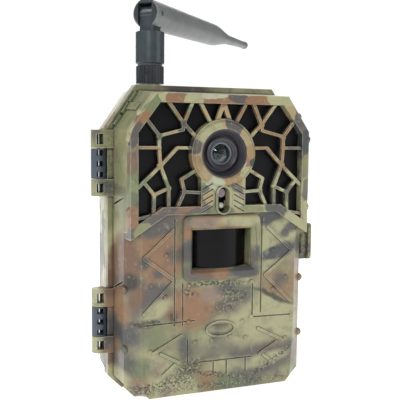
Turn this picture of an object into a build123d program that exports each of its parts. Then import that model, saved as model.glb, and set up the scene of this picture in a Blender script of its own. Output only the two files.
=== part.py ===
"""Trail camera: a two-half weatherproof case, hinged on its left and latched on its right.

The front half carries the lens, the infrared lamps behind a web-like guard, the motion sensor,
the boards and the inside panel with screen and keys. The rear half carries the cells, the tree
bracket, the tripod thread and a fold-down whip aerial on top.

Millimetres. +X is to the viewer's right, the front faces -Y, +Z is up. The origin is the mouth of
the tripod thread in the middle of the rear half's underside.
"""
from build123d import *
from math import atan2, cos, degrees, hypot, pi, radians, sin, tan
import os

os.makedirs("parts", exist_ok=True)

# Case outline, seen from the front
CASE_HALF = 48.4  # half width of the joint flanges
CASE_TOP = 142.6
TOP_HALF = 35.0  # half width of the flat top, between the slanted shoulders
SHOULDER_Z = 123.0  # where the shoulders meet the sides
FOOT_CUT = 6.5  # cut across each lower corner

# Depths: planes that face the front
SEAM_Y = -12.0  # front face of the rear half
SEAM_GAP = 0.15
FLANGE_Y = -15.0  # front of the front half's flange
WAIST_Y = -29.0  # where the lower body starts to slope to its face
GUARD_SEAT_Y = -33.0  # wall that carries the lamp window and the guard
FACE_Y = -35.5  # lower face
GUARD_Y = -37.5  # front of the guard
REAR_STEP_Y = -8.0  # back of the rear half's flange
REAR_TURN_Y = 11.5
BACK_Y = 15.0

# Insets of the outline at those depths
FLANGE_INSET = 2.7
WAIST_INSET = 3.9
SEAT_INSET = 4.3
GUARD_INSET = 4.7
CAVITY_INSET = 6.2
DOOR_LIFT = 0.3  # the front half clears the ground by this much

# Guard
V_TIP_Z = 73.6
V_BAND = ((27.0, 84.3), (28.0, 86.0))  # lower edge and hidden middle of the V band, at its bend
CAVITY = ((29.0, 87.7), (40.2, 80.5), (40.2, 120.5), (30.2, 133.8))
RIB_Y = -36.9
RIB_WIDTH = 1.35
RIB_DEPTH = 1.9
LENS_Z = 111.4
RING_R = 15.5
RING_BORE_R = 11.05
PEDESTAL_HALF = 10.8
PORT_Z, PORT_LENGTH, PORT_WIDTH = 90.3, 12.0, 5.8  # oval port in the pedestal

# Motion sensor window
PIR_HALF = 14.6
PIR_LOW, PIR_HIGH = 58.9, 76.9
PIR_Z = (PIR_LOW + PIR_HIGH) / 2
PIR_FRAME_HALF = 19.0
PIR_FRAME_LOW, PIR_FRAME_HIGH = 53.8, 83.4
PIR_WALL = 1.5
PIR_DEEP_Y = -28.2  # back of the wall round the lens
PIR_CURVE_R = 19.5

# Hinges on the left side
HINGE_X, HINGE_Y = -52.0, -13.0
KNUCKLE_R = 3.45
PIN_R = 0.85
PIN_CLEARANCE = 0.05
HINGE_BASES = (18.1, 91.4)
HINGE_H = 30.3
KNUCKLE_SPLITS = (7.8, 22.0)  # from the hinge's base to the middle knuckle's two ends
KNUCKLE_GAP = 0.25
WINDOW_W = 3.1

# Latch on the right side
LATCH_LOW, LATCH_HIGH = 58.6, 76.6
LATCH_X = 50.2  # inner face of the lever's plate
LATCH_T = 1.7
LATCH_PIN = (48.4, -24.6)
LUG_R = 1.6

# Aerial
AERIAL_X, AERIAL_Y = -24.1, -2.0
AERIAL_SEAT_Z = 142.5
NUT_R, NUT_LOW, NUT_HIGH = 6.7, 143.95, 152.3
BARREL_R, BARREL_LOW, BARREL_HIGH = 6.9, 153.4, 168.6
PIVOT_Z = 176.9
WHIP_HEADING = 46.5  # degrees from +Y towards +X
WHIP_ROOT, WHIP_LENGTH = 5.2, 124.0
TONGUE_W = 7.0

# Inside
PANEL_Y = (-15.2, -13.4)
CELL_R, CELL_LENGTH = 7.1, 50.0
CELL_Y = 2.6
CELL_PITCH = 15.4
CELL_ROWS = (17.2, 71.2)
KEYS = {
    "key_up": (0, 64, 3.2),
    "key_down": (0, 42, 3.2),
    "key_left": (-11, 53, 3.2),
    "key_right": (11, 53, 3.2),
    "key_ok": (0, 53, 3.9),
    "key_menu": (-27, 53, 3.2),
}
KEY_BOARD_Y = (-19.4, -17.8)
SPEAKER_X, SPEAKER_Z = 13.0, 20.0
CARD_X, CARD_Y, CARD_Z = (-32.8, -9.0), (-16.5, -14.5), (13.8, 45.8)
CARD_BAY_Z = (7.6, 46.4)
CARD_FLOOR_Y = -17.7
SOCKET_LOW = 39.9
SWITCH_X, SWITCH_Z = 28.0, 53.0
BOSSES = [(sx * x, z) for x, z in ((37.2, 14.0), (37.2, 70.0), (26.5, 131.0)) for sx in (-1, 1)]


def facing(y):
    """Sketch plane at depth y that faces the front, with local x and y along X and Z."""
    return Plane.XZ.offset(-y)


def mirrored(right):
    """Closed outline from its right-hand points, listed upwards."""
    return list(right) + [(-x, z) for x, z in reversed(right)]


def case_outline(inset, floor=0.0):
    """Case outline moved inwards by inset, standing on height floor."""
    slant = atan2(CASE_TOP - SHOULDER_Z, CASE_HALF - TOP_HALF)
    half = CASE_HALF - inset
    return mirrored(
        [
            (half - FOOT_CUT, floor),
            (half, floor + FOOT_CUT),
            (half, SHOULDER_Z - inset * tan((pi / 2 - slant) / 2)),
            (TOP_HALF - inset * tan(slant / 2), CASE_TOP - inset),
        ]
    )


def guard_outline(inset):
    """Outline of the guard: the case's top and shoulders over a shallow V."""
    upper = case_outline(inset)[2:4]
    return mirrored([V_BAND[0], (CASE_HALF - inset, V_TIP_Z), *upper])


def block(x, y, z, mode=Mode.ADD):
    """Box between pairs of x, y and z."""
    with Locations(((x[0] + x[1]) / 2, (y[0] + y[1]) / 2, (z[0] + z[1]) / 2)):
        Box(x[1] - x[0], y[1] - y[0], z[1] - z[0], mode=mode)


def rod(axis, centre, span, radius, mode=Mode.ADD):
    """Cylinder along X, Y or Z; centre holds the two other coordinates in order."""
    middle, length = (span[0] + span[1]) / 2, span[1] - span[0]
    place = {
        "X": (middle, centre[0], centre[1]),
        "Y": (centre[0], middle, centre[1]),
        "Z": (centre[0], centre[1], middle),
    }[axis]
    turn = {"X": (0, 90, 0), "Y": (90, 0, 0), "Z": (0, 0, 0)}[axis]
    with Locations(place):
        Cylinder(radius, length, rotation=turn, mode=mode)


def bar(start, end, width):
    """Round-ended bar in the current sketch."""
    dx, dz = end[0] - start[0], end[1] - start[1]
    with Locations(((start[0] + end[0]) / 2, (start[1] + end[1]) / 2)):
        SlotCenterToCenter(hypot(dx, dz), width, rotation=degrees(atan2(dz, dx)))


def both_sides(points):
    """A line of points and its mirror image."""
    return [list(points), [(-x, z) for x, z in points]]


def strokes(lines, width):
    """Bars along each line of points, on both sides of the middle."""
    for line in lines:
        for side in both_sides(line):
            for start, end in zip(side, side[1:]):
                bar(start, end, width)


def screw_heads(points, y, out, head_r=2.3, head_h=1.3, shank_r=1.1, shank=7.0):
    """Cross-head screws along Y; out is -1 or 1 for the way the heads face."""
    for x, z in points:
        rod("Y", (x, z), sorted((y, y + out * head_h)), head_r)
        rod("Y", (x, z), sorted((y, y - out * shank)), shank_r)
        slot = sorted((y + out * head_h, y + out * (head_h - 0.7)))
        block((x - 1.5, x + 1.5), slot, (z - 0.3, z + 0.3), Mode.SUBTRACT)
        block((x - 0.3, x + 0.3), slot, (z - 1.5, z + 1.5), Mode.SUBTRACT)


# ---------------------------------------------------------------- front half: case and guard

V_MIDDLE = [(60.0, 66.7), V_BAND[1], (-V_BAND[1][0], V_BAND[1][1]), (-60.0, 66.7)]

SHOULDER_TILT = degrees(atan2(CASE_HALF - TOP_HALF, CASE_TOP - SHOULDER_Z))
BAND_LIFT, BAND_SHARE, BAND_WIDTH = 0.7, 0.44, 3.6  # raised band across each shoulder


def on_shoulder(side, share, depth, y):
    """Point at depth below a shoulder's outline; share runs from 0 at the top to 1 at the side."""
    tilt = radians(SHOULDER_TILT)
    x = TOP_HALF + share * (CASE_HALF - TOP_HALF) - depth * cos(tilt)
    z = CASE_TOP - share * (CASE_TOP - SHOULDER_Z) - depth * sin(tilt)
    return (side * x, y, z)


with BuildPart() as upper_block:
    with BuildSketch(facing(WAIST_Y)):
        Polygon(*case_outline(WAIST_INSET, DOOR_LIFT), align=None)
    with BuildSketch(facing(GUARD_SEAT_Y)):
        Polygon(*case_outline(SEAT_INSET, DOOR_LIFT), align=None)
    loft(ruled=True)
    with BuildSketch(facing(WAIST_Y)):
        Polygon(*V_MIDDLE, (-60, 150), (60, 150), align=None)
    extrude(amount=10, both=True, mode=Mode.INTERSECT)

with BuildPart() as lower_block:
    with BuildSketch(facing(WAIST_Y)):
        waist_half = CASE_HALF - WAIST_INSET
        Polygon(*mirrored([(39.6, 0.3), (waist_half, 5.2), (waist_half, 30), (waist_half, 92)]),
                align=None)
    with BuildSketch(facing(FACE_Y)):
        Polygon(*mirrored([(34.4, 0.8), (37.0, 3.8), (38.25, 30), (38.25, 92)]), align=None)
    loft(ruled=True)
    with BuildSketch(facing(WAIST_Y)):
        Polygon(*V_MIDDLE, (-60, -10), (60, -10), align=None)
    extrude(amount=10, both=True, mode=Mode.INTERSECT)

ZIGZAG = [(23.5, 77.0), (36.9, 65.0), (22.6, 54.2), (36.9, 40.0)]
LOWER_MARKS = [
    [(19.3, 28.6), (32.6, 21.8)],
    [(29.0, 21.0), (20.4, 16.3)],
    [(22.3, 15.5), (28.0, 11.0)],
]
FACE_GROOVES = [
    # left, right, middle
    ((-22.7, 82.0), (-22.7, 33.5)), ((-18.7, 52.5), (-18.7, 33.5)), ((-37.0, 34.6), (-13.0, 35.2)),
    ((-16.2, 26.5), (-16.2, 16.0)),
    ((20.6, 82.0), (20.6, 36.5)), ((16.2, 50.5), (16.2, 34.8)), ((16.2, 34.4), (36.4, 34.0)),
    ((-11.0, 15.3), (15.6, 15.3)), ((-3.4, 14.8), (-3.4, 8.5)), ((3.2, 14.8), (3.2, 8.5)),
    ((13.0, 14.8), (13.0, 8.5)),
]
GROOVE_WIDTH = 0.7
EYE_Z, EYE_R, EYE_HALF, EYE_HEIGHT = 30.2, 2.6, 2.7, 0.95  # raised oval above the rivets
RIVET_R = 1.3
FACE_RIVETS = [(11.1, 32.7), (12.8, 24.8), (-4.1, 25.0), (5.0, 26.1), (-12.5, 24.9), (15.6, 51.5),
               (-15.6, 51.5), (15.7, 34.7), (-15.7, 34.7), (26.5, 66.0), (-26.5, 66.0), (27.0, 47.0),
               (-27.0, 47.0), (-33.5, 52.5), (33.5, 52.5), (-34.0, 22.5), (34.0, 22.5)]
SIDE_BUMPS = [(44.2, WAIST_Y, 50.5), (44.3, WAIST_Y, 23.0)]
SIDE_BUMP_R = 1.9

with BuildPart() as front_case:
    with BuildSketch(facing(SEAM_Y - SEAM_GAP)):
        Polygon(*case_outline(0, DOOR_LIFT), align=None)
    extrude(amount=SEAM_Y - SEAM_GAP - FLANGE_Y)
    with BuildSketch(facing(FLANGE_Y)):
        Polygon(*case_outline(FLANGE_INSET, DOOR_LIFT), align=None)
    with BuildSketch(facing(WAIST_Y)):
        Polygon(*case_outline(WAIST_INSET, DOOR_LIFT), align=None)
    loft(ruled=True)
    add(upper_block.part)
    add(lower_block.part)
    # relief on the lower face
    with BuildSketch(facing(FACE_Y + 0.2)):
        strokes([ZIGZAG], 1.5)
        strokes(LOWER_MARKS, 1.3)
        with Locations((0, EYE_Z)):
            Ellipse(7.4, 3.9)
            Ellipse(6.6, 3.1, mode=Mode.SUBTRACT)
    extrude(amount=0.75)
    eye_y = FACE_Y - EYE_HEIGHT + EYE_R
    with BuildPart() as eye:
        rod("X", (eye_y, EYE_Z), (-EYE_HALF, EYE_HALF), EYE_R)
        with Locations((-EYE_HALF, eye_y, EYE_Z), (EYE_HALF, eye_y, EYE_Z)):
            Sphere(EYE_R)
        block((-10, 10), (FACE_Y + 0.5, 0), (20, 40), Mode.SUBTRACT)
    with BuildSketch(facing(FACE_Y + 0.45)):
        for start, end in FACE_GROOVES:
            bar(start, end, GROOVE_WIDTH)
    extrude(amount=1.0, mode=Mode.SUBTRACT)
    with Locations(*[(x, FACE_Y + 0.45, z) for x, z in FACE_RIVETS]):
        Sphere(RIVET_R)
    with Locations(*[(side * x, y, z) for x, y, z in SIDE_BUMPS for side in (-1, 1)]):
        Sphere(SIDE_BUMP_R)
    # slanted grooves across the side walls
    for side in (-1, 1):
        for middle_z, tilt in ((51.4, -21.0), (89.6, -16.0)):
            with Locations((side * 45.3, -22.2, middle_z)):
                Box(1.9, 13.5, 0.9, rotation=(tilt, 0, 0), mode=Mode.SUBTRACT)
    # interlocking steps behind the shoulders
    for side in (-1, 1):
        for share in (0.24, 0.5, 0.78):
            with Locations(on_shoulder(side, share, 2.44, FLANGE_Y - 0.5)):
                Box(2.4, 2.0, 5.2, rotation=(0, -side * SHOULDER_TILT, 0))
    # raised bands across the shoulders
    with BuildPart(mode=Mode.PRIVATE) as lifted:
        for y, inset in ((FLANGE_Y, FLANGE_INSET), (WAIST_Y, WAIST_INSET)):
            with BuildSketch(facing(y)):
                Polygon(*case_outline(inset - BAND_LIFT, DOOR_LIFT), align=None)
        loft(ruled=True)
    for side in (-1, 1):
        with BuildPart(mode=Mode.PRIVATE) as slab:
            with Locations(on_shoulder(side, BAND_SHARE, 3.0, FLANGE_Y - 7.0)):
                Box(6.0, 14.0, BAND_WIDTH, rotation=(0, -side * SHOULDER_TILT, 0))
        add(lifted.part & slab.part)
    # hollow
    with BuildSketch(facing(SEAM_Y + 1)):
        Polygon(*case_outline(CAVITY_INSET, 5.6), align=None)
    extrude(amount=SEAM_Y + 1 - WAIST_Y - 0.5, mode=Mode.SUBTRACT)
    block((-35.6, 35.6), (FACE_Y + 2.4, WAIST_Y + 1), (5.8, 82.5), Mode.SUBTRACT)
    with BuildSketch(facing(WAIST_Y + 1)):
        Polygon(*mirrored([(34.0, 88.2), (CASE_HALF - 8, 84.5), *case_outline(8)[2:4]]), align=None)
    extrude(amount=WAIST_Y + 1 - GUARD_SEAT_Y - 2.4, mode=Mode.SUBTRACT)
    # lamp window pocket and opening
    with BuildSketch(facing(GUARD_SEAT_Y + 1.6)):
        Polygon(*mirrored([(29.0, 87.0), (41.2, 79.8), (41.2, 120.9), (30.8, 134.8)]), align=None)
    extrude(amount=1.6, mode=Mode.SUBTRACT)
    with BuildSketch(facing(WAIST_Y)):
        Polygon(*mirrored([(27.0, 89.6), (38.4, 84.0), (38.4, 119.8), (29.0, 132.0)]), align=None)
    extrude(amount=5, mode=Mode.SUBTRACT)
    # port for the light sensor and status lamp
    with BuildSketch(facing(WAIST_Y + 1)):
        with Locations((0, PORT_Z)):
            SlotOverall(PORT_LENGTH + 0.4, PORT_WIDTH + 0.4, rotation=90)
    extrude(amount=9, mode=Mode.SUBTRACT)
    # motion sensor opening, with a wall round the lens
    block(
        (-PIR_HALF - PIR_WALL, PIR_HALF + PIR_WALL),
        (FACE_Y + 1, PIR_DEEP_Y),
        (PIR_LOW - PIR_WALL, PIR_HIGH + PIR_WALL),
    )
    block((-PIR_HALF, PIR_HALF), (FACE_Y - 1, PIR_DEEP_Y + 1), (PIR_LOW, PIR_HIGH), Mode.SUBTRACT)
    # screw bosses for the inside panel
    for x, z in BOSSES:
        rod("Y", (x, z), (PANEL_Y[0] - 15.6, PANEL_Y[0]), 2.9)
        rod("Y", (x, z), (PANEL_Y[0] - 8.5, PANEL_Y[0] + 1), 1.15, Mode.SUBTRACT)
    # hinge knuckles
    for base in HINGE_BASES:
        for low, high in ((0, KNUCKLE_SPLITS[0]), (KNUCKLE_SPLITS[1], HINGE_H)):
            span = (base + low, base + high)
            rod("Z", (HINGE_X, HINGE_Y), span, KNUCKLE_R)
            block((HINGE_X, -44.2), (HINGE_Y - KNUCKLE_R, SEAM_Y - SEAM_GAP), span)
            rod("Z", (HINGE_X, HINGE_Y), (span[0] - 1, span[1] + 1), PIN_R + PIN_CLEARANCE, Mode.SUBTRACT)
            block(
                (HINGE_X - WINDOW_W / 2, HINGE_X + WINDOW_W / 2),
                (HINGE_Y - KNUCKLE_R - 1, HINGE_Y + 1.6),
                (span[0] + 1.7, span[1] - 1.9),
                Mode.SUBTRACT,
            )
    # latch lugs
    for low, high in ((LATCH_LOW + 0.2, LATCH_LOW + 2.7), (LATCH_HIGH - 5.0, LATCH_HIGH - 0.4)):
        block((43.6, LATCH_PIN[0]), (LATCH_PIN[1] - LUG_R, LATCH_PIN[1] + LUG_R), (low, high))
        rod("Z", LATCH_PIN, (low, high), LUG_R)
    rod("Z", LATCH_PIN, (LATCH_LOW - 1, LATCH_HIGH + 1), 0.85, Mode.SUBTRACT)

with BuildPart() as web_guard:
    # rim, lofted forwards from its seat
    with BuildSketch(facing(GUARD_SEAT_Y)):
        Polygon(*guard_outline(SEAT_INSET), align=None)
    with BuildSketch(facing(GUARD_Y)):
        Polygon(*guard_outline(GUARD_INSET), align=None)
    loft(ruled=True)
    with BuildSketch(facing(GUARD_SEAT_Y + 1)):
        Polygon(*mirrored(CAVITY), align=None)
    extrude(amount=GUARD_SEAT_Y + 1 - GUARD_Y + 1, mode=Mode.SUBTRACT)
    # tips of the V, which reach back over the lower slope
    tip_half = CASE_HALF - SEAT_INSET
    tip_middle_z = 66.7 + (60.0 - tip_half) * (V_BAND[1][1] - 66.7) / (60.0 - V_BAND[1][0])
    with BuildSketch(facing(WAIST_Y)):
        for side in (1, -1):
            Polygon(
                *[(side * x, z) for x, z in
                  (V_BAND[0], (tip_half, V_TIP_Z), (tip_half, tip_middle_z), V_BAND[1])],
                align=None,
            )
    extrude(amount=WAIST_Y - GUARD_SEAT_Y)
    add(lower_block.part, mode=Mode.SUBTRACT)
    # ribs
    with BuildSketch(facing(RIB_Y + RIB_DEPTH)):
        strokes(
            [
                [(26.5, 134.5), (19.1, 124.7), (12.9, 118.5)],
                [(14.8, 134.5), (19.1, 124.7)],
                [(11.4, 134.5), (5.8, 124.5)],
                [(19.1, 124.4), (19.4, 122.0), (30.4, 119.2), (36.6, 126.8)],
                [(30.4, 119.2), (30.5, 114.0), (29.8, 106.0)],
                [(41.0, 114.0), (30.5, 114.0)],
                [(13.0, 113.9), (22.0, 114.0), (29.8, 106.0), (40.9, 95.8)],
                [(29.8, 106.0), (26.0, 96.2), (26.0, 87.2)],
                [(37.6, 99.0), (32.7, 93.3), (26.0, 96.2)],
                [(32.7, 93.3), (33.0, 84.3)],
                [(13.0, 104.0), (20.0, 100.0), (18.6, 94.4), (22.0, 87.2)],
                [(18.6, 94.4), (10.0, 93.8)],
                [(41.0, 82.8), (33.2, 84.2)],
            ],
            RIB_WIDTH,
        )
        for x, z, r in ((19.1, 124.6, 1.2), (30.4, 119.0, 1.2), (30.0, 106.0, 1.3), (26.0, 96.2, 1.05),
                        (32.7, 93.3, 1.05), (18.8, 94.4, 1.0), (30.5, 114.0, 0.95)):
            with Locations((x, z), (-x, z)):
                Circle(r)
        # pointer above the lens
        Polygon((-4.6, 124.4), (4.6, 124.4), (1.0, 134.5), (-1.0, 134.5), align=None)
        Polygon((-1.7, 127.2), (1.7, 127.2), (0, 131.4), align=None, mode=Mode.SUBTRACT)
    extrude(amount=RIB_DEPTH)
    # pedestal and lens ring
    block((-PEDESTAL_HALF, PEDESTAL_HALF), (GUARD_Y, GUARD_SEAT_Y), (86.0, 104.0))
    with BuildSketch(facing(GUARD_SEAT_Y)):
        with Locations((0, LENS_Z)):
            Circle(RING_R)
    extrude(amount=GUARD_SEAT_Y - GUARD_Y)
    with BuildSketch(facing(GUARD_Y)):
        with Locations((0, LENS_Z)):
            Circle(RING_R - 0.6)
    extrude(amount=1.3, taper=35)
    rod("Y", (0, LENS_Z), (GUARD_Y - 3, GUARD_SEAT_Y + 1), RING_BORE_R, Mode.SUBTRACT)
    # bevel inside the ring
    with BuildSketch(Plane((0, 0, LENS_Z))):
        Polygon((RING_BORE_R - 1, GUARD_Y - 0.2), (RING_BORE_R - 1, GUARD_Y - 2),
                (RING_BORE_R + 1.7, GUARD_Y - 2), align=None)
    revolve(axis=Axis((0, 0, LENS_Z), (0, 1, 0)), mode=Mode.SUBTRACT)
    # herringbone grooves on the pedestal
    with BuildSketch(facing(GUARD_Y + 0.45)):
        for z in (86.4, 89.0, 91.6, 94.2, 96.8):
            for side in (-1, 1):
                bar((side * 10.2, z - 1.4), (side * 5.4, z + 1.2), 0.7)
    extrude(amount=1.0, mode=Mode.SUBTRACT)
    # oval port with raised lip, and microphone hole
    with BuildSketch(facing(GUARD_Y)):
        with Locations((0, PORT_Z)):
            SlotOverall(PORT_LENGTH + 1.2, PORT_WIDTH + 1.8, rotation=90)
    extrude(amount=0.6)
    with BuildSketch(facing(GUARD_SEAT_Y + 1)):
        with Locations((0, PORT_Z)):
            SlotOverall(PORT_LENGTH, PORT_WIDTH, rotation=90)
    extrude(amount=7, mode=Mode.SUBTRACT)
    rod("Y", (0, 98.3), (GUARD_Y - 1, GUARD_SEAT_Y + 1), 0.55, Mode.SUBTRACT)
    # rivets on the corners of the rim
    with Locations(*[(side * 43.0, -35.4, z) for z in (118.0, 86.0) for side in (-1, 1)]):
        Sphere(2.3)
    with Locations(*[(side * 38.4, -35.2, 128.6) for side in (-1, 1)]):
        Sphere(2.0)

with BuildPart() as ir_window:
    with BuildSketch(facing(GUARD_SEAT_Y + 1.6)):
        Polygon(*mirrored([(29.0, 87.1), (41.1, 79.9), (41.1, 120.85), (30.75, 134.7)]), align=None)
        with Locations((0, LENS_Z)):
            Circle(12.6, mode=Mode.SUBTRACT)
        with Locations((0, 91.0)):
            Rectangle(9.6, 16.4, mode=Mode.SUBTRACT)
    extrude(amount=1.5)

with BuildPart() as pir_frame:
    height = PIR_FRAME_HIGH - PIR_FRAME_LOW
    with BuildSketch(facing(FACE_Y)):
        with Locations((0, (PIR_FRAME_HIGH + PIR_FRAME_LOW) / 2)):
            RectangleRounded(2 * PIR_FRAME_HALF, height, 2.6)
    extrude(amount=2.4)
    front_edges = pir_frame.faces().sort_by(Axis.Y)[0].edges()
    chamfer(front_edges, length=0.8)
    with BuildSketch(facing(FACE_Y + 1)):
        with Locations((0, PIR_Z)):
            Rectangle(2 * PIR_HALF, PIR_HIGH - PIR_LOW)
    extrude(amount=5, mode=Mode.SUBTRACT)
    inner_edges = pir_frame.faces().sort_by(Axis.Y)[0].inner_wires()[0].edges()
    chamfer(inner_edges, length=1.5)

with BuildPart() as pir_lens:
    front_y = FACE_Y - 0.7
    with BuildSketch(Plane.XY.offset(PIR_LOW + 0.1)):
        with Locations((0, front_y + PIR_CURVE_R)):
            Circle(PIR_CURVE_R)
            Circle(PIR_CURVE_R - 1.1, mode=Mode.SUBTRACT)
        with Locations((0, front_y)):
            Rectangle(2 * (PIR_HALF - 0.1), 2 * (PIR_DEEP_Y - front_y), mode=Mode.INTERSECT)
    extrude(amount=PIR_HIGH - PIR_LOW - 0.2)

# ---------------------------------------------------------------- front half: lens and lamps

LENS_AXIS = Axis((0, 0, LENS_Z), (0, 1, 0))

with BuildPart() as lens_barrel:
    with BuildSketch(Plane((0, 0, LENS_Z))):
        Polygon(
            (10.95, -37.9), (10.95, -31.2), (12.4, -31.2), (12.4, -26.5), (9.0, -26.5), (9.0, -24.1),
            (4.6, -24.1), (4.6, -33.2), (5.5, -33.2), (5.5, -34.6), (6.2, -34.9), (6.2, -35.5),
            (6.9, -36.0), (7.5, -35.6), (7.5, -33.4), (8.6, -33.4), (8.6, -34.6), (10.2, -37.7),
            (10.3, -37.9), align=None,
        )
    revolve(axis=LENS_AXIS)

with BuildPart() as lens_retainer:
    with BuildSketch(Plane((0, 0, LENS_Z))):
        Polygon((4.25, -33.2), (5.45, -33.2), (5.45, -33.9), (5.0, -34.35), (4.5, -34.2), align=None)
    revolve(axis=LENS_AXIS)

with BuildPart() as lens_glass:
    glass_r, dome_r = 4.2, 7.0
    dome_y = -34.9 + dome_r
    edge_y = dome_y - (dome_r**2 - glass_r**2) ** 0.5
    with BuildSketch(Plane((0, 0, LENS_Z))):
        with BuildLine():
            Polyline((0, -34.9), (0, -30.8), (glass_r, -30.8), (glass_r, edge_y))
            mid = radians(16)
            ThreePointArc((glass_r, edge_y), (dome_r * sin(mid), dome_y - dome_r * cos(mid)), (0, -34.9))
        make_face()
    revolve(axis=LENS_AXIS)

with BuildPart() as camera_board:
    block((-16, 16), (-22.4, -20.8), (98, 125))
    block((-9.5, 9.5), (-24.1, -22.4), (LENS_Z - 9.5, LENS_Z + 9.5))
    rod("Y", (0, LENS_Z), (-24.2, -23.6), 4.6, Mode.SUBTRACT)
    block((-13, -4), (-20.8, -19.6), (101, 107))
    block((3, 13), (-20.8, -19.8), (115, 122))

LAMP_COLUMNS = {18.5: (93, 121, 128), 26.0: (93, 100, 107, 114, 121), 33.5: (91, 98, 104.5, 111, 117)}
LAMPS = [(side * x, z) for side in (-1, 1) for x, column in LAMP_COLUMNS.items() for z in column]
LAMP_BOARD_Y = (-27.1, -25.6)

with BuildPart() as ir_board:
    with BuildSketch(facing(LAMP_BOARD_Y[1])):
        Polygon(*mirrored([(14.5, 88.5), (38.0, 86.5), (38.0, 119.4), (28.0, 126.5), (22.0, 134.0)]),
                align=None)
        with Locations((0, LENS_Z)):
            Circle(14.0, mode=Mode.SUBTRACT)
        with Locations((0, 92.0)):
            Rectangle(9, 16, mode=Mode.SUBTRACT)
        with Locations(*BOSSES[4:]):
            Circle(3.4, mode=Mode.SUBTRACT)
    extrude(amount=LAMP_BOARD_Y[1] - LAMP_BOARD_Y[0])

with BuildPart() as ir_lamps:
    with Locations(*[(x, -28.8, z) for x, z in LAMPS]):
        Sphere(2.4)
    for x, z in LAMPS:
        rod("Y", (x, z), (-28.6, LAMP_BOARD_Y[0]), 2.5)
    block((-60, 60), (LAMP_BOARD_Y[0], LAMP_BOARD_Y[0] + 5), (80, 140), Mode.SUBTRACT)

SENSOR_BOARD_Y = -26.0

with BuildPart() as light_sensor:
    rod("Y", (0, 93.4), (-34.6, SENSOR_BOARD_Y), 2.0)
    rod("Y", (0, 93.4), (-30.5, SENSOR_BOARD_Y), 2.4)

with BuildPart() as status_led:
    rod("Y", (0, 87.6), (-34.2, SENSOR_BOARD_Y), 1.5)
    with Locations((0, -34.2, 87.6)):
        Sphere(1.5)

with BuildPart() as microphone:
    rod("Y", (0, 98.3), (-32.9, -31.4), 1.4)

with BuildPart() as sensor_board:
    block((-4.2, 4.2), (SENSOR_BOARD_Y, SENSOR_BOARD_Y + 1.4), (84.5, 96.6))

with BuildPart() as main_board:
    with BuildSketch(facing(-22.4)):
        Polygon(*mirrored([(33.4, 8.5), (33.4, 80.5)]), align=None)
        with Locations(*[(side * 33.4, 8.5) for side in (-1, 1)]):
            Circle(3.0, mode=Mode.SUBTRACT)
    extrude(amount=1.6)
    block((-24, -8), (-25.4, -24.0), (20, 36))
    block((4, 14), (-25.2, -24.0), (22, 34))
    block((20, 28), (-25.8, -24.0), (40, 46))
    block((-28, -20), (-22.4, -20.8), (60, 70))
    block((12, 27), (-22.4, -21.0), (18, 28))

with BuildPart() as pir_sensor:
    rod("Y", (0, PIR_Z), (-28.6, -24.0), 4.6)
    rod("Y", (0, PIR_Z), (-24.9, -24.0), 5.1)
    block((-2.1, 2.1), (-29, -28.2), (PIR_Z - 1.7, PIR_Z + 1.7), Mode.SUBTRACT)

with BuildPart() as pir_element:
    block((-2.0, 2.0), (-28.5, -28.2), (PIR_Z - 1.6, PIR_Z + 1.6))

# ---------------------------------------------------------------- front half: inside panel

SCREEN = (25.5, 79.5, 117.5)  # half width, low and high edges of the clear window

with BuildPart() as inner_panel:
    with BuildSketch(facing(PANEL_Y[1])):
        Polygon(*case_outline(CAVITY_INSET + 0.3, 6.0), align=None)
        with Locations((0, (SCREEN[1] + SCREEN[2]) / 2)):
            Rectangle(2 * SCREEN[0], SCREEN[2] - SCREEN[1], mode=Mode.SUBTRACT)
        for x, z, r in KEYS.values():
            with Locations((x, z)):
                Circle(r + 0.25, mode=Mode.SUBTRACT)
        with Locations((SWITCH_X, SWITCH_Z)):
            Rectangle(3.4, 11.0, mode=Mode.SUBTRACT)
        with Locations(*BOSSES):
            Circle(1.25, mode=Mode.SUBTRACT)
        with Locations((SPEAKER_X, SPEAKER_Z)):
            with GridLocations(3.2, 3.2, 5, 4):
                Circle(0.8, mode=Mode.SUBTRACT)
        with Locations(((CARD_X[0] + CARD_X[1]) / 2, (CARD_BAY_Z[0] + CARD_BAY_Z[1]) / 2)):
            Rectangle(CARD_X[1] - CARD_X[0] + 1.4, CARD_BAY_Z[1] - CARD_BAY_Z[0], mode=Mode.SUBTRACT)
    extrude(amount=PANEL_Y[1] - PANEL_Y[0])
    with BuildSketch(facing(PANEL_Y[1] + 0.4)):
        with Locations((0, 53)):
            Circle(18.6)
            Circle(17.8, mode=Mode.SUBTRACT)
    extrude(amount=0.6)

with BuildPart() as panel_screws:
    screw_heads(BOSSES, PANEL_Y[1], 1, head_r=2.2, head_h=0.9, shank_r=1.1, shank=8.0)

with BuildPart() as display_window:
    block((-SCREEN[0] + 0.1, SCREEN[0] - 0.1), (PANEL_Y[0] + 0.3, PANEL_Y[1] - 0.1),
          (SCREEN[1] + 0.1, SCREEN[2] - 0.1))

with BuildPart() as display:
    block((-27.5, 27.5), (-18.2, PANEL_Y[0] - 0.1), (77.0, 120.0))

with BuildPart() as keypad_board:
    block((-33.0, 33.0), KEY_BOARD_Y, (37.0, 69.0))
    for x, z, r in KEYS.values():
        block((x - 2.4, x + 2.4), (KEY_BOARD_Y[1], -17.1), (z - 2.4, z + 2.4))

key_parts = {}
for key_name, (key_x, key_z, key_r) in KEYS.items():
    with BuildPart() as key:
        rod("Y", (key_x, key_z), (-16.2, -12.75), key_r)
        rod("Y", (key_x, key_z), (-16.2, PANEL_Y[0] - 0.05), key_r + 0.6)
        top_edges = key.faces().sort_by(Axis.Y)[-1].edges()
        fillet(top_edges, radius=0.5)
    key_parts[key_name] = key

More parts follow.
